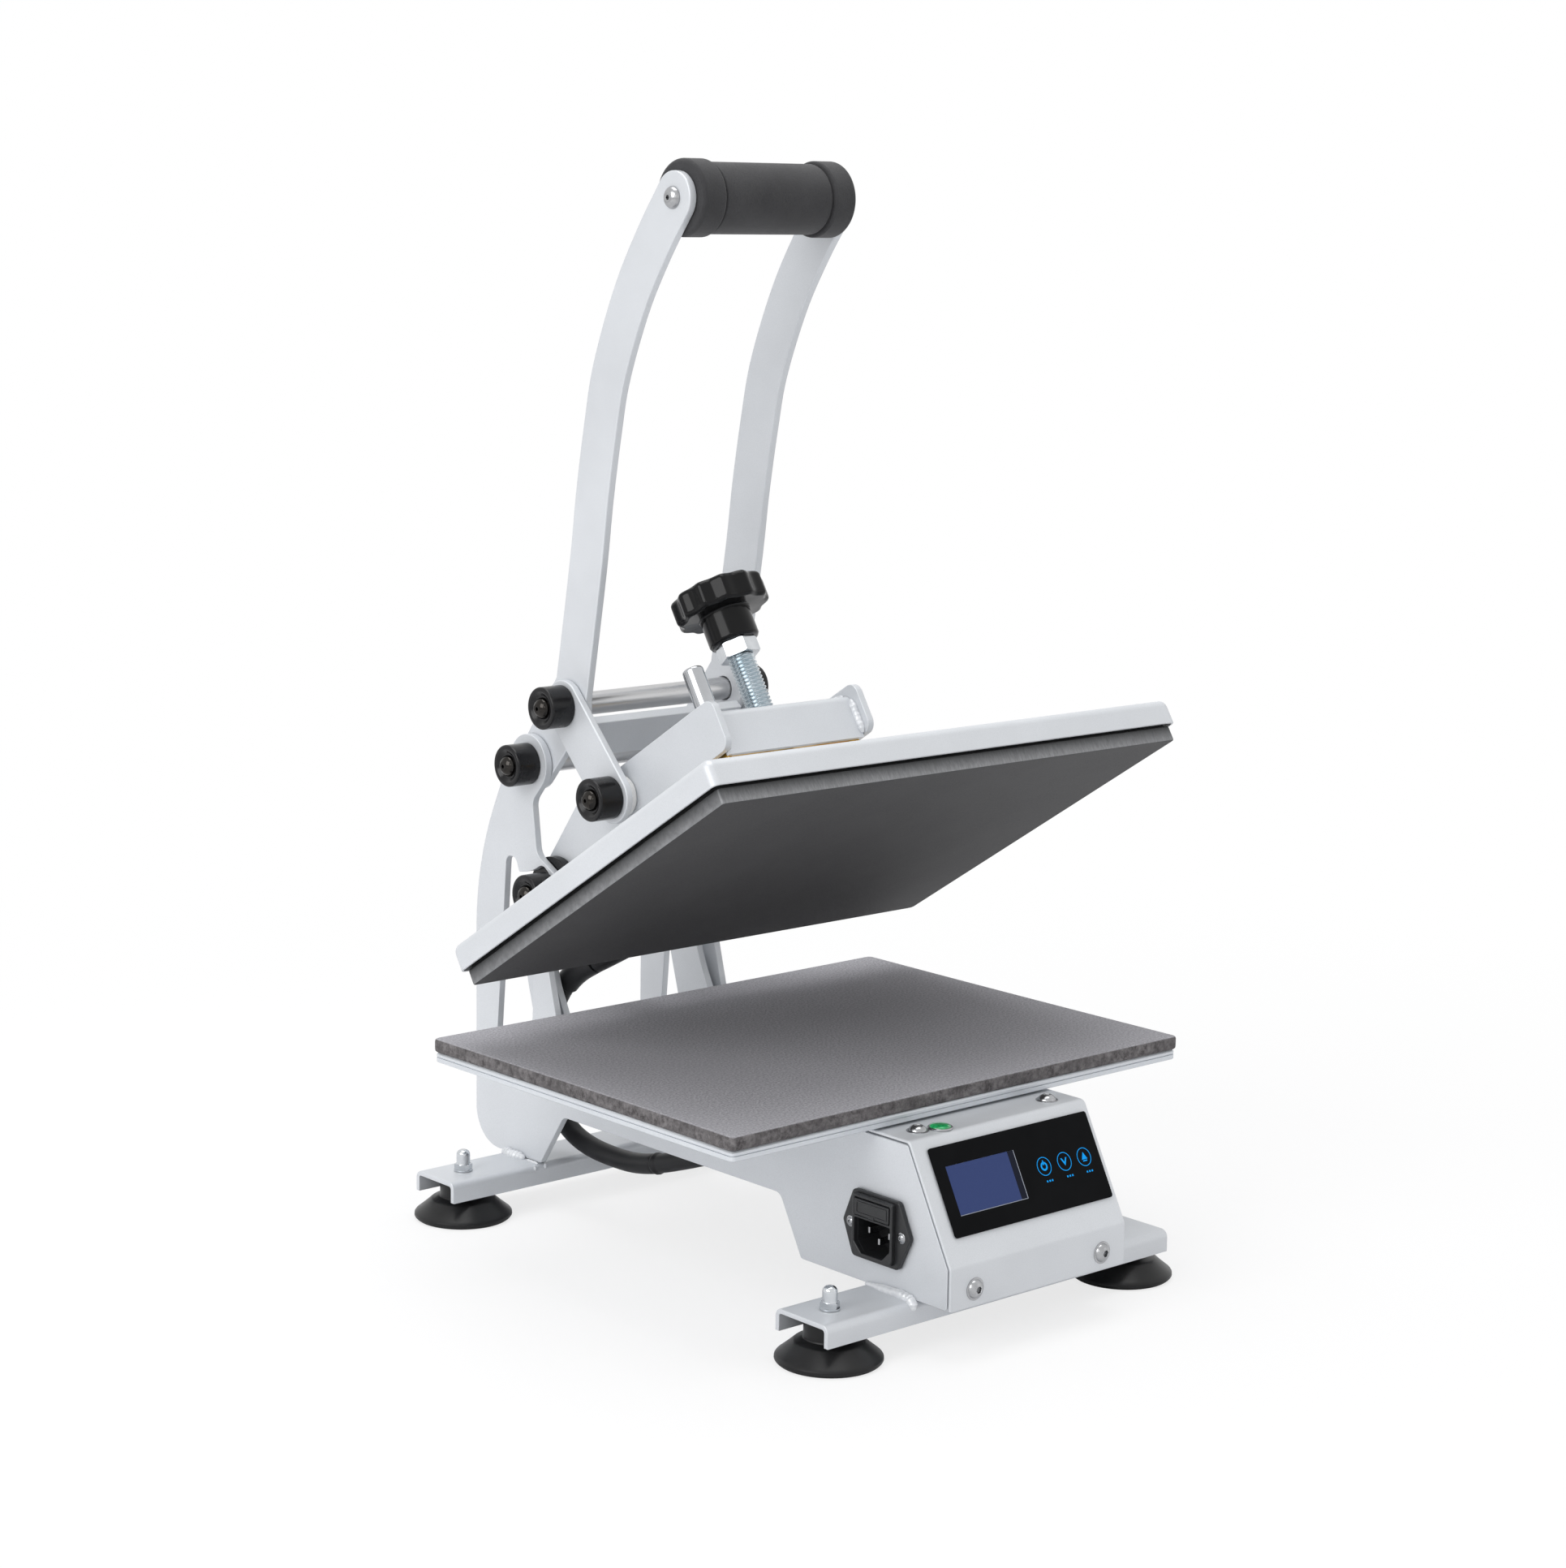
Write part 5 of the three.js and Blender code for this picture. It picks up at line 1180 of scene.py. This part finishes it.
# Shafts and caps
# Ground steel shafts, each held by a screwed cap of satin black plastic at both ends. Black rings
# keep the arm plates off the uprights, and are made wide so that their black also stands for painted
# shade in the upright's opening. White ones keep the links off the arm plates.
shaft_steel = (bright_metal("ground_steel", linear(180, 180, 181), linear(196, 196, 197), 0.28, 120,
                            (0.1, 1, 1)), "shaft_steel")
cap_black = rubber("cap_plastic", linear(15, 15, 17), 0.24, 900, 0.00002), "cap_black"
gunmetal = bright_metal("gunmetal", linear(46, 44, 42), linear(60, 58, 56), 0.08, 200), "zinc_plate"
nylon = speckled("white_nylon", linear(226, 226, 224), linear(236, 236, 235), 700, 0.4), "white_nylon"
cap_radius = 0.011
cap_length = 0.0139
cap_edge = 0.0014
cap_recess = 0.0086
cap_floor = 0.0066
cap_depth = cap_length - 0.0016
cap_screw = {"radius": 0.0057, "height": 0.0038, "socket": 0.0018}
cap_profile = rounded([
    (0, 0), (cap_radius, 0, 0.0003), (cap_radius, cap_length, cap_edge), (cap_recess, cap_length, 0.0012),
    (cap_floor, cap_depth, 0.0006), (0, cap_depth)], math.radians(12))
arm_outer = 0.0498
ring_radius = 0.0105
# Wider than a spacer needs, so the black ring also stands in for painted shade in the upright's opening.
spacer_and_shade_radius = 0.0185
ring_length = frame_inner - arm_outer - 2 * touch_gap
shaft_end = frame_half + cap_edge


def end_cap(name, spot, side, body):
    face = Vector((side * (frame_half + touch_gap), spot.y, spot.z))
    fitted(name, turned_mesh(cap_profile, 56), cap_black, body, at=pointing((side, 0, 0), face))
    floor = face + Vector((side * cap_depth, 0, 0))
    button_screw(name + "_screw", floor, (side, 0, 0), body=body, finish=gunmetal, **cap_screw)


def steel_pin(name, spot, start, end, body, node):
    fitted(name, turned_mesh(rod(shaft_radius, end - start, 0.0003)), shaft_steel, body, node,
           at=pointing((1, 0, 0), (start, spot.y, spot.z)))


def spacer_ring(name, spot, side, body, radius, finish):
    start = (side * (arm_outer + touch_gap), spot.y, spot.z)
    fitted(name, turned_mesh(rod(radius, ring_length)), finish, body, at=pointing((side, 0, 0), start))


open_angle = math.radians(32.3)
link_pin_reach = 0.076
link_pin_rise = 0.0208
arm_turn = Matrix.Rotation(-open_angle, 4, "X")
link_pin = arm_pivot + arm_turn @ Vector((0, -link_pin_reach, link_pin_rise))
for word, spot, body in (("lever_shaft", lever_pivot, "base"), ("arm_shaft", arm_pivot, "base"),
                         ("crank_shaft", crank_pin, "lever")):
    steel_pin(word + "_rod", spot, -shaft_end, shaft_end, body, word)
    for side, hand in hands:
        end_cap(f"{word}_cap_{hand}", spot, side, body)
        if word == "arm_shaft":
            spacer_ring(f"{word}_ring_{hand}", spot, side, body, spacer_and_shade_radius, cap_black)
for side, hand in hands:
    ends = sorted((side * (arm_outer + touch_gap), side * shaft_end))
    steel_pin(f"link_pin_{hand}_rod", link_pin, *ends, "link", f"link_pin_{hand}")
    end_cap(f"link_pin_{hand}_cap", link_pin, side, "link")
    spacer_ring(f"link_pin_{hand}_ring", link_pin, side, "link", ring_radius, nylon)


# Lever
# Two bars cut from 4.5 mm sheet that bend forward to the grip, each in one piece with its crank.
# The cut edges are rounded over before coating.
lever_outer = 0.0546
lever_inner = 0.0501
lever_half_width = 0.013
lever_edge = 0.0008
lever_fillet = 0.002
crank_radius = 0.014
lever_rise = 0.2583
lever_reach = 0.0796
lever_line_shares = ((0, 0), (0.156, 0.278), (0.221, 0.421), (0.299, 0.554),
                     (0.384, 0.665), (0.577, 0.805), (0.791, 0.913), (1, 1))
grip_screw_hole = 0.0033
grip_spot = Vector((0, crank_pin.y - lever_reach, crank_pin.z + lever_rise))


def smooth_line(points, step_count, power=0.0):
    """A Catmull-Rom line through points, at about equal steps along it."""
    spots = [Vector(p) for p in points]
    spots = [spots[0] * 2 - spots[1], *spots, spots[-1] * 2 - spots[-2]]
    line = []
    fine = 24
    for a, b, c, d in zip(spots, spots[1:], spots[2:], spots[3:]):
        ab, bc, cd = ((q - p).length ** power for p, q in ((a, b), (b, c), (c, d)))
        leave = ((b - a) / ab - (c - a) / (ab + bc) + (c - b) / bc) * bc
        arrive = ((c - b) / bc - (d - b) / (bc + cd) + (d - c) / cd) * bc
        for i in range(fine):
            t = i / fine
            line.append(b * (2 * t ** 3 - 3 * t ** 2 + 1) + leave * (t ** 3 - 2 * t ** 2 + t)
                        + c * (3 * t ** 2 - 2 * t ** 3) + arrive * (t ** 3 - t ** 2))
    line.append(spots[-2])
    far = [0]
    for p, q in zip(line, line[1:]):
        far.append(far[-1] + (q - p).length)
    even = []
    k = 0
    for i in range(step_count + 1):
        goal = far[-1] * i / step_count
        while k < len(line) - 2 and far[k + 1] < goal:
            k += 1
        even.append(line[k].lerp(line[k + 1], (goal - far[k]) / (far[k + 1] - far[k])))
    return even


def way_at(line, i):
    return (line[min(i + 1, len(line) - 1)] - line[max(i - 1, 0)]).normalized()


def lever_bar_outline():
    line = smooth_line([(crank_spot[0] - lever_reach * forward, crank_spot[1] + lever_rise * up)
                        for forward, up in lever_line_shares], 48)
    back, front = [], []
    for i, spot in enumerate(line):
        across = way_at(line, i) * lever_half_width
        back.append((spot.x + across.y, spot.y - across.x))
        front.append((spot.x - across.y, spot.y + across.x))
    last = line[-1] - line[-2]
    heading = math.atan2(last.y, last.x)
    end = arc((grip_spot.y, grip_spot.z), lever_half_width, heading - math.pi / 2, heading + math.pi / 2)
    return [*back, *end[1:-1], *front[::-1]]


def bar_outline(first, last, radius):
    """A bar with round ends between two places."""
    left_turn = math.atan2(last[1] - first[1], last[0] - first[0]) + math.pi / 2
    return [*arc(last, radius, left_turn - math.pi, left_turn),
            *arc(first, radius, left_turn, left_turn + math.pi)]


def inside(point, outline):
    found = False
    for (a, b), (c, d) in zip(outline, [*outline[1:], outline[0]]):
        if (b > point[1]) != (d > point[1]) and point[0] < a + (c - a) * (point[1] - b) / (d - b):
            found = not found
    return found


def united(first, second, fillet):
    """The outline of two outlines that cross in two places, with a fillet where they meet."""
    corners = []
    for outline, other in ((first, second), (second, first)):
        free = [not inside(p, other) for p in outline]
        start = next(i for i in range(len(outline)) if free[i] and not free[i - 1])
        run = []
        while free[start % len(outline)]:
            run.append(outline[start % len(outline)])
            start += 1
        corners += [*run[1:-1], (*run[-1], fillet)]
    return rounded(corners)


lever_outline = united(lever_bar_outline(), bar_outline(crank_spot, lever_spot, crank_radius), lever_fillet)
lever_holes = [circle(crank_spot, bore_radius), circle(lever_spot, bore_radius),
               circle((grip_spot.y, grip_spot.z), grip_screw_hole)]
for side, hand in hands:
    bar = plate_mesh(lever_outline, lever_holes, side * lever_inner, side * lever_outer,
                     edge=lever_edge, steps=3)
    fitted(f"lever_bar_{hand}", bar, coat, "lever", f"lever_{hand}")


# Cross plate
# A flat bar of the same steel, welded between the levers just in front of the crank. It keeps the
# two levers in line.
tie_off = 0.012
tie_far = tie_off + 0.005
tie_beyond = 0.0038
tie_reach = 0.023
crank_way = (Vector(lever_spot) - Vector(crank_spot)).normalized()
crank_front = Vector((crank_way.y, -crank_way.x))
tie_corners = [(*(Vector(crank_spot) + crank_way * along + crank_front * off), 0.0006) for along, off in (
    (-tie_beyond, tie_off), (tie_reach, tie_off), (tie_reach, tie_far), (-tie_beyond, tie_far))]
tie_half = lever_inner - touch_gap
fitted("cross_plate", plate_mesh(rounded(tie_corners), [], -tie_half, tie_half), coat, "lever",
       "lever_cross_plate")


# Grip
# A tube of soft charcoal foam with a thicker collar at each end, pushed over a steel rod that is
# screwed between the levers.
def charcoal_foam(name):
    surface = Surface(name)
    pores = surface.noise(1500, 3.0, 0.7)
    cloud = surface.noise(45, 3.0, 0.6)
    shade = surface.fleck(cloud, 0.3, 0.7, 1, linear(50, 50, 52), linear(60, 60, 62))
    colour = surface.fleck(pores, 0.56, 0.72, 0.6, shade, linear(36, 36, 38))
    return surface.finish(
        colour, Roughness=surface.spread(pores, 0.3, 0.7, 0.74, 0.9), Specular_IOR_Level=0.3,
        Sheen_Weight=0.15, Sheen_Roughness=0.5, Normal=surface.bump(pores, 0.0004, 0.6))


grip_half = lever_inner - touch_gap
foam_radius = 0.0175
foam_bore = 0.0113
collar_radius = 0.019
collar_end = 0.014 - grip_half
collar_round = 0.0022
groove_radius = foam_radius - 0.0011
groove_half = 0.0009
foam_corners = [(foam_bore, -grip_half), (collar_radius, -grip_half, collar_round),
                (collar_radius, collar_end, collar_round), (groove_radius, collar_end, 0.0004),
                (groove_radius, collar_end + groove_half, 0.0004),
                (foam_radius, collar_end + 2 * groove_half, 0.001)]
foam_corners += [(radius, -height, *rest) for radius, height, *rest in foam_corners[::-1]]
foam_mesh = turned_mesh(rounded(foam_corners, math.radians(15)), 72, closed=True)
foam_finish = charcoal_foam("charcoal_foam"), "grip_foam"
foam = shaped("grip_foam", foam_mesh, foam_finish, crease=60, at=pointing((1, 0, 0), grip_spot))
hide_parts("foam_grip")
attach(foam, "lever")
carry("grip_rod", shaft_steel)
grip_screw = {"radius": 0.0055, "height": 0.003, "socket": 0.0022}
grip_shank_radius = 0.003
grip_shank_length = 0.0143
for side, hand in hands:
    face = Vector((side * (lever_outer + touch_gap), grip_spot.y, grip_spot.z))
    button_screw(f"grip_screw_{hand}_head", face, (side, 0, 0), body="lever", **grip_screw)
    shank = turned_mesh(rod(grip_shank_radius, grip_shank_length, 0.0002))
    fitted(f"grip_screw_{hand}_shank", shank, stainless, "lever", f"grip_screw_{hand}",
           at=pointing((-side, 0, 0), face))


# Links
# Short flat links of the frame's sheet outside the levers, from the crank pin down to the platen
# arm. They turn on the pins in line with the side sheets.
link_radius = 0.0135
link_spot = (link_pin.y, link_pin.z)
link_outline = bar_outline(crank_spot, link_spot, link_radius)
link_holes = [circle(crank_spot, bore_radius), circle(link_spot, bore_radius)]
for side, hand in hands:
    bar = plate_mesh(link_outline, link_holes, side * frame_inner, side * frame_half,
                     edge=lever_edge, steps=3)
    fitted(f"link_bar_{hand}", bar, coat, "link", f"link_{hand}")


# Platen arm
# Two shaped plates hung on the arm shaft, with a channel welded between their noses and a flat
# tie near the shaft. Places here are forward or back of the platen's back edge, and heights are
# above its underside, in the closed press.
platen_setback = 0.0364
platen_drop = 0.053
platen_from_pivot = Matrix.Translation((0, -platen_setback, -platen_drop))
platen_place = Matrix.Translation(arm_pivot) @ arm_turn @ platen_from_pivot
arm_inner = 0.0458
screw_forward = 0.104
arm_lobe_radius = 0.017
arm_end = -0.127
arm_top = 0.088
arm_nose = 0.061
arm_nose_corner = 0.006
arm_bend_corner = 0.014
arm_heel = (-0.02, 0.06)
arm_shoulder = (-0.006, arm_top)
arm_bore_spot = (platen_setback, platen_drop)
arm_outline = rounded([
    (arm_end, arm_top, arm_nose_corner), (arm_end, arm_nose, arm_nose_corner), (*arm_heel, arm_bend_corner),
    *arc(arm_bore_spot, arm_lobe_radius, touching(arm_heel, arm_bore_spot, arm_lobe_radius, 1),
         touching(arm_shoulder, arm_bore_spot, arm_lobe_radius, -1) + 2 * math.pi),
    (*arm_shoulder, arm_bend_corner)], math.radians(4))
for side, hand in hands:
    plate = plate_mesh(arm_outline, [circle(arm_bore_spot, bore_radius)], side * arm_inner, side * arm_outer,
                       edge=sheet_edge)
    fitted(f"arm_side_{hand}", plate, coat, "platen_arm", f"arm_plate_{hand}", at=platen_place)

channel_sheet = 0.0025
channel_top = 0.0835
channel_bottom = 0.0655
channel_lip = 0.0594
channel_front = -screw_forward - 0.017
channel_back = -screw_forward + 0.016
channel_half = arm_inner - touch_gap
channel_path = [(channel_back, channel_bottom), (channel_back, channel_top),
                (channel_front, channel_top), (channel_front, channel_lip)]
channel_mesh = plate_mesh(bent_sheet(channel_path, channel_sheet, leg_bend), [], -channel_half, channel_half,
                          edge=leg_edge)
fitted("front_channel", channel_mesh, coat, "platen_arm", "arm_front_channel", at=platen_place)


def in_platen(x, along, height):
    return platen_place @ Vector((x, along, height))


channel_bead = 0.0022
for side, hand in hands:
    seam = side * (channel_half - bead_rise)
    run = [in_platen(seam, along, channel_top + bead_rise)
           for along in (channel_front + 0.004, channel_back - 0.004)]
    weld_bead(f"channel_weld_top_{hand}", run, channel_bead, "platen_arm", seed=2.0 + side)
    run = [in_platen(seam, channel_front - bead_rise, height)
           for height in (channel_top - 0.003, channel_lip + 0.002)]
    weld_bead(f"channel_weld_front_{hand}", run, channel_bead, "platen_arm", seed=5.0 + side)

screw_radius = 0.007
screw_place = platen_place @ Matrix.Translation((0, -screw_forward, 0))
bush_radius = 0.012
bush_bore = screw_radius + touch_gap
bush_top = channel_top - channel_sheet - touch_gap
bush_foot = bush_top - 0.012
bush_profile = rounded([(bush_bore, bush_foot, 0.0003), (bush_radius, bush_foot, 0.0008),
                        (bush_radius, bush_top, 0.0003), (bush_bore, bush_top, 0.0003)])
fitted("screw_bush", turned_mesh(bush_profile, closed=True), zinc, "platen_arm", "threaded_bush",
       at=screw_place)


# Platen cover
# A shallow pan of 1.2 mm sheet, pressed with a rounded top edge and coated with the frame. It is
# set over the platen and carries the screw's bracket.
pan_sheet = 0.0012
pan_low = (-0.1533, -0.2245)
pan_high = (0.1533, 0.0027)
pan_bottom = 0.0085
pan_top = 0.022
pan_corner = 0.0042
pan_inner_corner = 0.0006
pan_roll = 0.0045
pan_steps = 7


def pan_edge(inset, roll, top):
    leans = [math.pi / 2 * i / pan_steps for i in range(pan_steps + 1)]
    return [(inset + roll * (1 - math.cos(lean)), top - roll * (1 - math.sin(lean))) for lean in leans]


pan_outer = [(0.0003, pan_bottom), (0, pan_bottom + 0.0003), *pan_edge(0, pan_roll, pan_top)]
pan_inner = [(pan_sheet, pan_bottom), *pan_edge(pan_sheet, pan_roll - pan_sheet, pan_top - pan_sheet)]
pan_mesh = stacked_mesh([
    (inset_rectangle(pan_low, pan_high, inset, max(pan_corner - inset, pan_inner_corner), math.radians(7.5)),
     height) for inset, height in [*pan_inner[::-1], *pan_outer]])
fitted("platen_pan", pan_mesh, coat, "platen", "platen_cover", at=platen_place)


# Platen
# An aluminium casting with a dark coated working face, fixed in the cover over its heating element
# and a block of mineral wool. Its sides are milled and show fine upright streaks, and painted shade
# darkens them towards the top, under the cover's edge.
def dark_casting(name):
    surface = Surface(name)
    up = platen_place.to_3x3() @ Vector((0, 0, 1))
    down_share = surface.dot(surface.node("ShaderNodeTexCoord", output="Normal"), -up)
    face = surface.spread(down_share, 0.5, 0.85, 0, 1)
    # Painted shade: a mask by height that darkens the sides towards the top, under the cover's edge.
    height = surface.dot(surface.node("ShaderNodeTexCoord", output="Object"), up)
    foot = up.dot(platen_place.translation)
    shade = surface.spread(height, foot + 0.001, foot + 0.0078, 0, 1)
    streak = surface.noise(900, 3.0, 0.7, (1, 0.25, 0.25))
    cloud = surface.noise(26, 4.0, 0.6)
    grain = surface.noise(1300, 2.0, 0.6)
    side = surface.fleck(streak, 0.3, 0.7, 1, linear(118, 119, 121), linear(146, 147, 149))
    side = surface.fleck(cloud, 0.35, 0.7, 0.3, side, linear(112, 113, 115))
    # The sides take the painted shade colour near the top.
    side = surface.mix(shade, side, linear(54, 55, 56))
    under = surface.fleck(grain, 0.3, 0.7, 1, linear(70, 70, 71), linear(82, 82, 83))
    under = surface.fleck(cloud, 0.4, 0.75, 0.5, under, linear(84, 84, 85))
    return surface.finish(
        surface.mix(face, side, under), Metallic=surface.spread(face, 0, 1, 0.6, 0.1),
        Roughness=surface.spread(face, 0, 1, 0.42, 0.65), Specular_IOR_Level=0.2,
        Normal=surface.bump(grain + streak, 0.00006, 0.4))


casting = dark_casting("cast_platen"), "cast_platen"
platen_low = (-0.15, -0.222)
platen_high = (0.15, 0)
platen_thickness = 0.01
platen_neck = 0.0016
platen_neck_low = 0.0078
platen_rings = [(0.0008, 0), (0.0002, 0.0002), (0, 0.0008), (0, platen_neck_low - 0.0004),
                (0.0004, platen_neck_low), (platen_neck, platen_neck_low), (platen_neck, platen_thickness)]
platen_mesh = stacked_mesh([
    (inset_rectangle(platen_low, platen_high, inset, 0.002, math.radians(15)), height)
    for inset, height in platen_rings])
fitted("platen_casting", platen_mesh, casting, "platen", "heat_platen", at=platen_place)
wool = speckled("mineral_wool", linear(206, 198, 178), linear(228, 222, 206), 500, 0.9), "mineral_wool"
carry("heating_element", shaft_steel)
carry("insulation_block", wool)


# Screw bracket
# A hat section of 2.5 mm yellow passivated sheet, fixed on the cover, that the screw pushes on
# and the guide post stands on.
def yellow_zinc_plate(name):
    surface = Surface(name)
    film = surface.noise(60, 4.0, 0.65)
    fine = surface.noise(700, 3.0, 0.6)
    shade = surface.fleck(film, 0.3, 0.7, 1, linear(214, 168, 62), linear(226, 188, 92))
    shade = surface.fleck(fine, 0.4, 0.7, 0.4, shade, linear(206, 168, 96))
    return surface.finish(shade, Metallic=0.7, Roughness=surface.spread(film, 0.3, 0.7, 0.28, 0.42),
                          Normal=surface.bump(fine, 0.00006, 0.5))


yellow_zinc = yellow_zinc_plate("yellow_zinc"), "yellow_zinc"
hat_half = arm_inner - 0.0018
hat_side = hat_half + 0.012
hat_sheet = 0.0025
hat_top = 0.0635
hat_low = pan_top + touch_gap + hat_sheet
hat_front = -screw_forward - 0.014
hat_back = -screw_forward + 0.016
hat_path = [(hat_side, hat_low), (hat_half, hat_low), (hat_half, hat_top),
            (-hat_half, hat_top), (-hat_half, hat_low), (-hat_side, hat_low)]
hat_mesh = plate_mesh(bent_sheet(hat_path, hat_sheet, leg_bend), [], hat_front, hat_back, "y", edge=leg_edge)
fitted("hat_bracket", hat_mesh, yellow_zinc, "platen", "screw_bracket", at=platen_place)


# Guide post
# A chrome plated pin on the bracket that slides through the channel. It keeps the platen square
# when the screw turns.
chrome = bright_metal("chrome_plate", linear(176, 178, 181), linear(188, 190, 193), 0.14, 80), "post_chrome"
post_radius = 0.0055
post_x = -arm_inner + 0.0118
post_foot = hat_top + touch_gap
post_top = 0.113
post_place = platen_place @ Matrix.Translation((post_x, -screw_forward, post_foot))
fitted("chrome_post", turned_mesh(rod(post_radius, post_top - post_foot, 0.0016)), chrome, "platen",
       "guide_post", at=post_place)


# Pressure screw
# A zinc plated M14 screw with a 2 mm pitch, turned by the knob. Its collar hangs in the bracket,
# and a plated hexagon nut locks it under the knob.
spigot_radius = 0.005
collar_top = hat_top - hat_sheet - 0.0003
collar_foot = collar_top - 0.0042
screw_collar = 0.0085
screw_foot = collar_top - 0.007
nut_bottom = 0.1165
nut_top = nut_bottom + 0.0078
nut_across = 0.019
nut_turn = math.radians(-18)
hub_bottom = nut_top + touch_gap
screw_top = hub_bottom + 0.0144
thread_pitch = 0.002
thread_depth = 0.0012
thread_slices = 8
thread_margin = 0.0004
thread_bottom = hat_top + touch_gap


def thread_ring(height):
    def place(turn):
        share = (height / thread_pitch - turn / (2 * math.pi)) % 1
        ridge = (1 + math.cos(2 * math.pi * share)) / 2
        return screw_radius - thread_depth * (1 - ridge), height
    return place


thread_steps = round((screw_top - thread_bottom - 2 * thread_margin) / thread_pitch * thread_slices)
thread = [thread_ring(thread_bottom + thread_margin + i * thread_pitch / thread_slices)
          for i in range(thread_steps)]
screw_profile = [
    (0, screw_foot), (spigot_radius, screw_foot), (spigot_radius, collar_foot), (screw_collar, collar_foot),
    (screw_collar, collar_top), (spigot_radius, collar_top), (spigot_radius, thread_bottom), *thread,
    (spigot_radius, screw_top), (0, screw_top)]
fitted("screw_thread", turned_mesh(screw_profile, 40), zinc, "pressure_screw", "pressure_screw",
       crease=50, at=screw_place)
nut_profile = [(0.0065, nut_bottom), *nut_rings(nut_across, nut_bottom, nut_top), (0.0078, nut_top),
               (0.0066, nut_top - 0.001)]
fitted("hexagon_lock_nut", turned_mesh(nut_profile, closed=True), plated, "pressure_screw",
       "screw_lock_nut", crease=30, at=screw_place @ Matrix.Rotation(nut_turn, 4, "Z"))


# Knob
# A twelve lobed knob of glossy black plastic, moulded in one with its hub. It is screwed on and
# locked by the nut under the hub.
knob_gloss = glossy("knob_plastic", linear(9, 9, 10), 0.1, 0.3, 0.2), "gloss_plastic"
knob_radius = 0.025
knob_lobes = 12
lobe_depth = 0.0018
lobe_power = 0.8
lobe_fade = 2.2
hub_radius = 0.01325
knob_bottom = hub_bottom + 0.0164
knob_top = knob_bottom + 0.014
knob_round = 0.0028
knob_dish = knob_top - 0.0006
knob_steps = 5


def knob_ring(inset, height):
    def place(turn):
        lobe = lobe_depth * ((1 - math.cos(knob_lobes * turn)) / 2) ** lobe_power
        return knob_radius - lobe * max(0, 1 - inset / knob_radius * lobe_fade) - inset, height
    return place


def knob_corner(start, way):
    leans = [math.pi / 2 * i / knob_steps for i in range(knob_steps + 1)]
    return [knob_ring(knob_round * (1 - math.cos(lean)), start + way * knob_round * math.sin(lean))
            for lean in leans]


knob_profile = [
    (0, hub_bottom), (hub_radius - 0.0022, hub_bottom), (hub_radius - 0.0007, hub_bottom + 0.0006),
    (hub_radius, hub_bottom + 0.0018), (hub_radius, knob_bottom - 0.001), (hub_radius + 0.001, knob_bottom),
    *knob_corner(knob_bottom + knob_round, -1)[::-1], *knob_corner(knob_top - knob_round, 1),
    (0.012, knob_top - 0.00005), (0.0105, knob_dish), (0.009, knob_dish), (0, knob_dish)]
fitted("lobed_knob", turned_mesh(knob_profile, 240), knob_gloss, "pressure_screw", "pressure_knob",
       crease=50, at=screw_place)


# Heater cable
# A round black rubber cable, in a thicker sleeve where it leaves the cover through a grommet. It
# drops behind the table and runs under it, past a moulded ring, into the control box.
cable_rubber = rubber("cable_rubber", linear(30, 30, 32), 0.45, 700, 0.00006), "cable_rubber"
cable_radius = 0.0054
sleeve_radius = 0.0066
plain_radius = 0.0051
ring_rise = 0.0058
ring_y = 0.0575
cable_steps = 300
sleeve_steps = 20
cable_sides = 20
cable_side = -0.025
cable_height = 0.0147
tail_drift = -0.011
tail_inside = 0.0004
tail_length = 0.046
tail_steps = 12
millimetre = 0.001
cable_points = (
    (-38.6, 137.8, 128.8), (-40, 145.6, 121.6), (-40.4, 152.6, 112.8), (-40.2, 158.2, 102.6),
    (-39.5, 162.6, 91), (-38.5, 165, 78.5), (-38, 164.5, 66), (-37.5, 160.5, 54), (-37, 153.5, 44),
    (-36.5, 144, 37.5), (-36, 132, 33.8), (-36, 115, 32.4), (-36, 95, 33), (-36, 75, 37), (-35, 55, 43.4),
    (-34, 35, 50.6), (-33, 15, 57), (-32, -5, 62.5), (-31, -25, 69), (-30, -45, 74), (-30, -56, 75),
    (-30, -80, 75))


def swept_mesh(line, radius_at):
    """A closed round tube along a line of points, with its radius by the point's number."""
    rings = []
    side = Vector((1, 0, 0))
    for i, spot in enumerate(line):
        way = way_at(line, i)
        side = (side - way * side.dot(way)).normalized()
        over = way.cross(side)
        turns = [2 * math.pi * j / cable_sides for j in range(cable_sides)]
        rings.append([spot + (side * math.cos(t) + over * math.sin(t)) * radius_at(i) for t in turns])
    return ringed_mesh(rings, capped=True)


def tail_point(share):
    along = tail_inside + (tail_length - tail_inside) * share
    return in_platen(cable_side + tail_drift * share ** 2, along, cable_height)


tail_line = [tail_point(i / tail_steps) for i in range(tail_steps + 1)]
tail = shaped("cable_tail_piece", swept_mesh(tail_line, lambda i: sleeve_radius), cable_rubber)
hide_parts("cable_tail")
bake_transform(tail)
carry("cable_grommet", cable_rubber)

pad_centre = Vector((0, pad_middle_y, 0))
cable_start = in_platen(cable_side + tail_drift, tail_length + touch_gap, cable_height)
cable_route = [cable_start, *(Vector(point) * millimetre + pad_centre for point in cable_points)]
cable_line = smooth_line(cable_route, cable_steps, power=0.5)
ring_step = next(i for i, spot in enumerate(cable_line) if i > cable_steps / 2 and spot.y < ring_y)


def cable_radius_at(i):
    if i <= sleeve_steps:
        return sleeve_radius
    if i in (ring_step, ring_step + 1):
        return ring_rise
    return cable_radius if i < ring_step - 1 else plain_radius


cable = shaped("heater_cable_piece", swept_mesh(cable_line, cable_radius_at), cable_rubber)
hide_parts("heater_cable")
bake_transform(cable)
cable_length = sum((q - p).length for p, q in zip(cable_line, cable_line[1:]))
